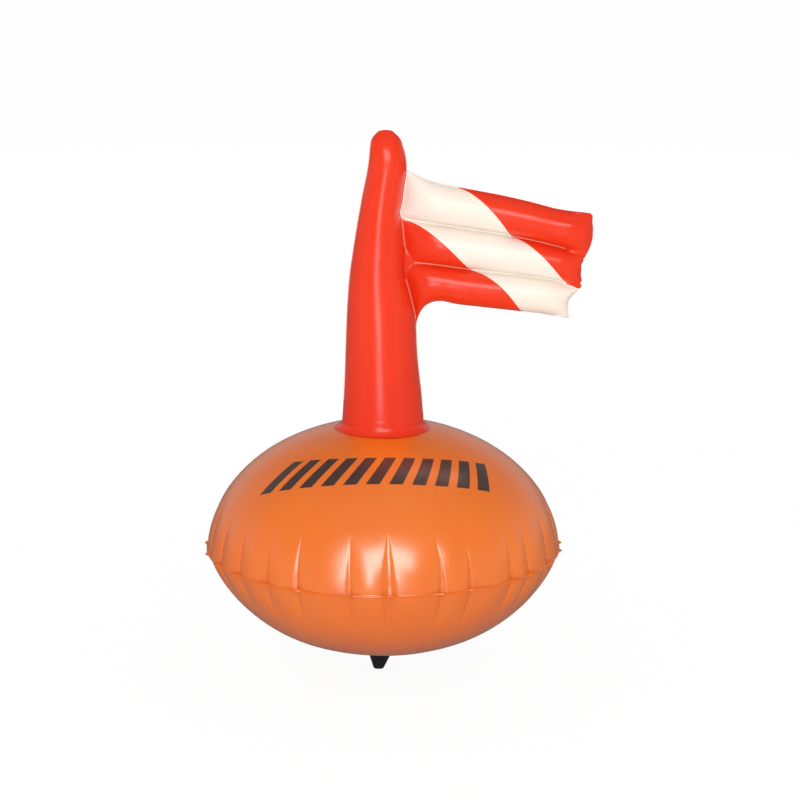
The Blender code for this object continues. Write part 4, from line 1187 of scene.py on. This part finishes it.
GRIP_RADIUS = PLUG_RADIUS - 0.0002
plug_top = PLUG_SEAT + PLUG_THICKNESS
plug_outline = softened([
    (0, plug_top - 0.0004), (PLUG_RADIUS - 0.0018, plug_top - 0.0004),
    (PLUG_RADIUS - 0.0012, plug_top), (GRIP_RADIUS, plug_top),
    (GRIP_RADIUS, PLUG_SEAT), (PLUG_SHANK, PLUG_SEAT),
    (PLUG_SHANK - 0.0004, PLUG_SEAT - PLUG_LENGTH), (0, PLUG_SEAT - PLUG_LENGTH)], 0.0004)
plug = lathe("valve_plug_moulding", plug_outline, BLACK_VALVE, place=VALVE_SEAT)
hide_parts("valve_plug")
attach(plug, "plug")

grip = grown("valve_plug_grip", bpy.data.meshes.new("valve_plug_grip"), rib_tree(),
             **{"Count": 24, "Ring Radius": GRIP_RADIUS, "Rib Radius": 0.00022,
                "Rib Height": PLUG_THICKNESS - 0.0006, "Finish": BLACK_VALVE})
grip.data.transform(VALVE_SEAT @ Matrix.Translation((0, 0, PLUG_SEAT + PLUG_THICKNESS / 2)))
grip.data.shade_smooth()
grip.data.set_sharp_from_angle(angle=SHARP_TURN)
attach(grip, "plug")

STRAP_WIDTH, STRAP_HALF, STRAP_SWING = 0.0026, 0.00035, 0.0024
strap_top, strap_fall = plug_top - PLUG_THICKNESS / 2, 0.0034
across, up = np.sin(even_turns(20)), np.cos(even_turns(20))
section = np.stack([STRAP_WIDTH / 2 * np.sign(across) * np.abs(across) ** 0.35,
                    STRAP_HALF * np.sign(up) * np.abs(up) ** 0.7], -1)
strap_shares = np.linspace(0, 1, 33)
strap_radii = (GRIP_RADIUS + (STEM_RADIUS - GRIP_RADIUS) * strap_shares
               + STRAP_SWING * np.sin(math.pi * strap_shares))
strap_heights = strap_top - strap_fall * strap_shares
headings = np.gradient(np.stack([strap_radii, strap_heights], -1), axis=0)
headings /= np.linalg.norm(headings, axis=1, keepdims=True)
strap_points = np.stack(np.broadcast_arrays(
    section[:, 0], strap_radii[:, None] - headings[:, 1:] * section[:, 1],
    strap_heights[:, None] + headings[:, :1] * section[:, 1]), -1)
rows, around = strap_points.shape[:2]
strap_ends = [tuple(range(around))[::-1], tuple(range((rows - 1) * around, rows * around))]
strap = meshed("valve_strap_moulding", strap_points, grid_faces(rows, around, True) + strap_ends,
               BLACK_VALVE)
strap.data.transform(VALVE_SEAT)
strap.data.set_sharp_from_angle(angle=math.radians(60))
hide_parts("valve_strap")
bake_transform(strap)
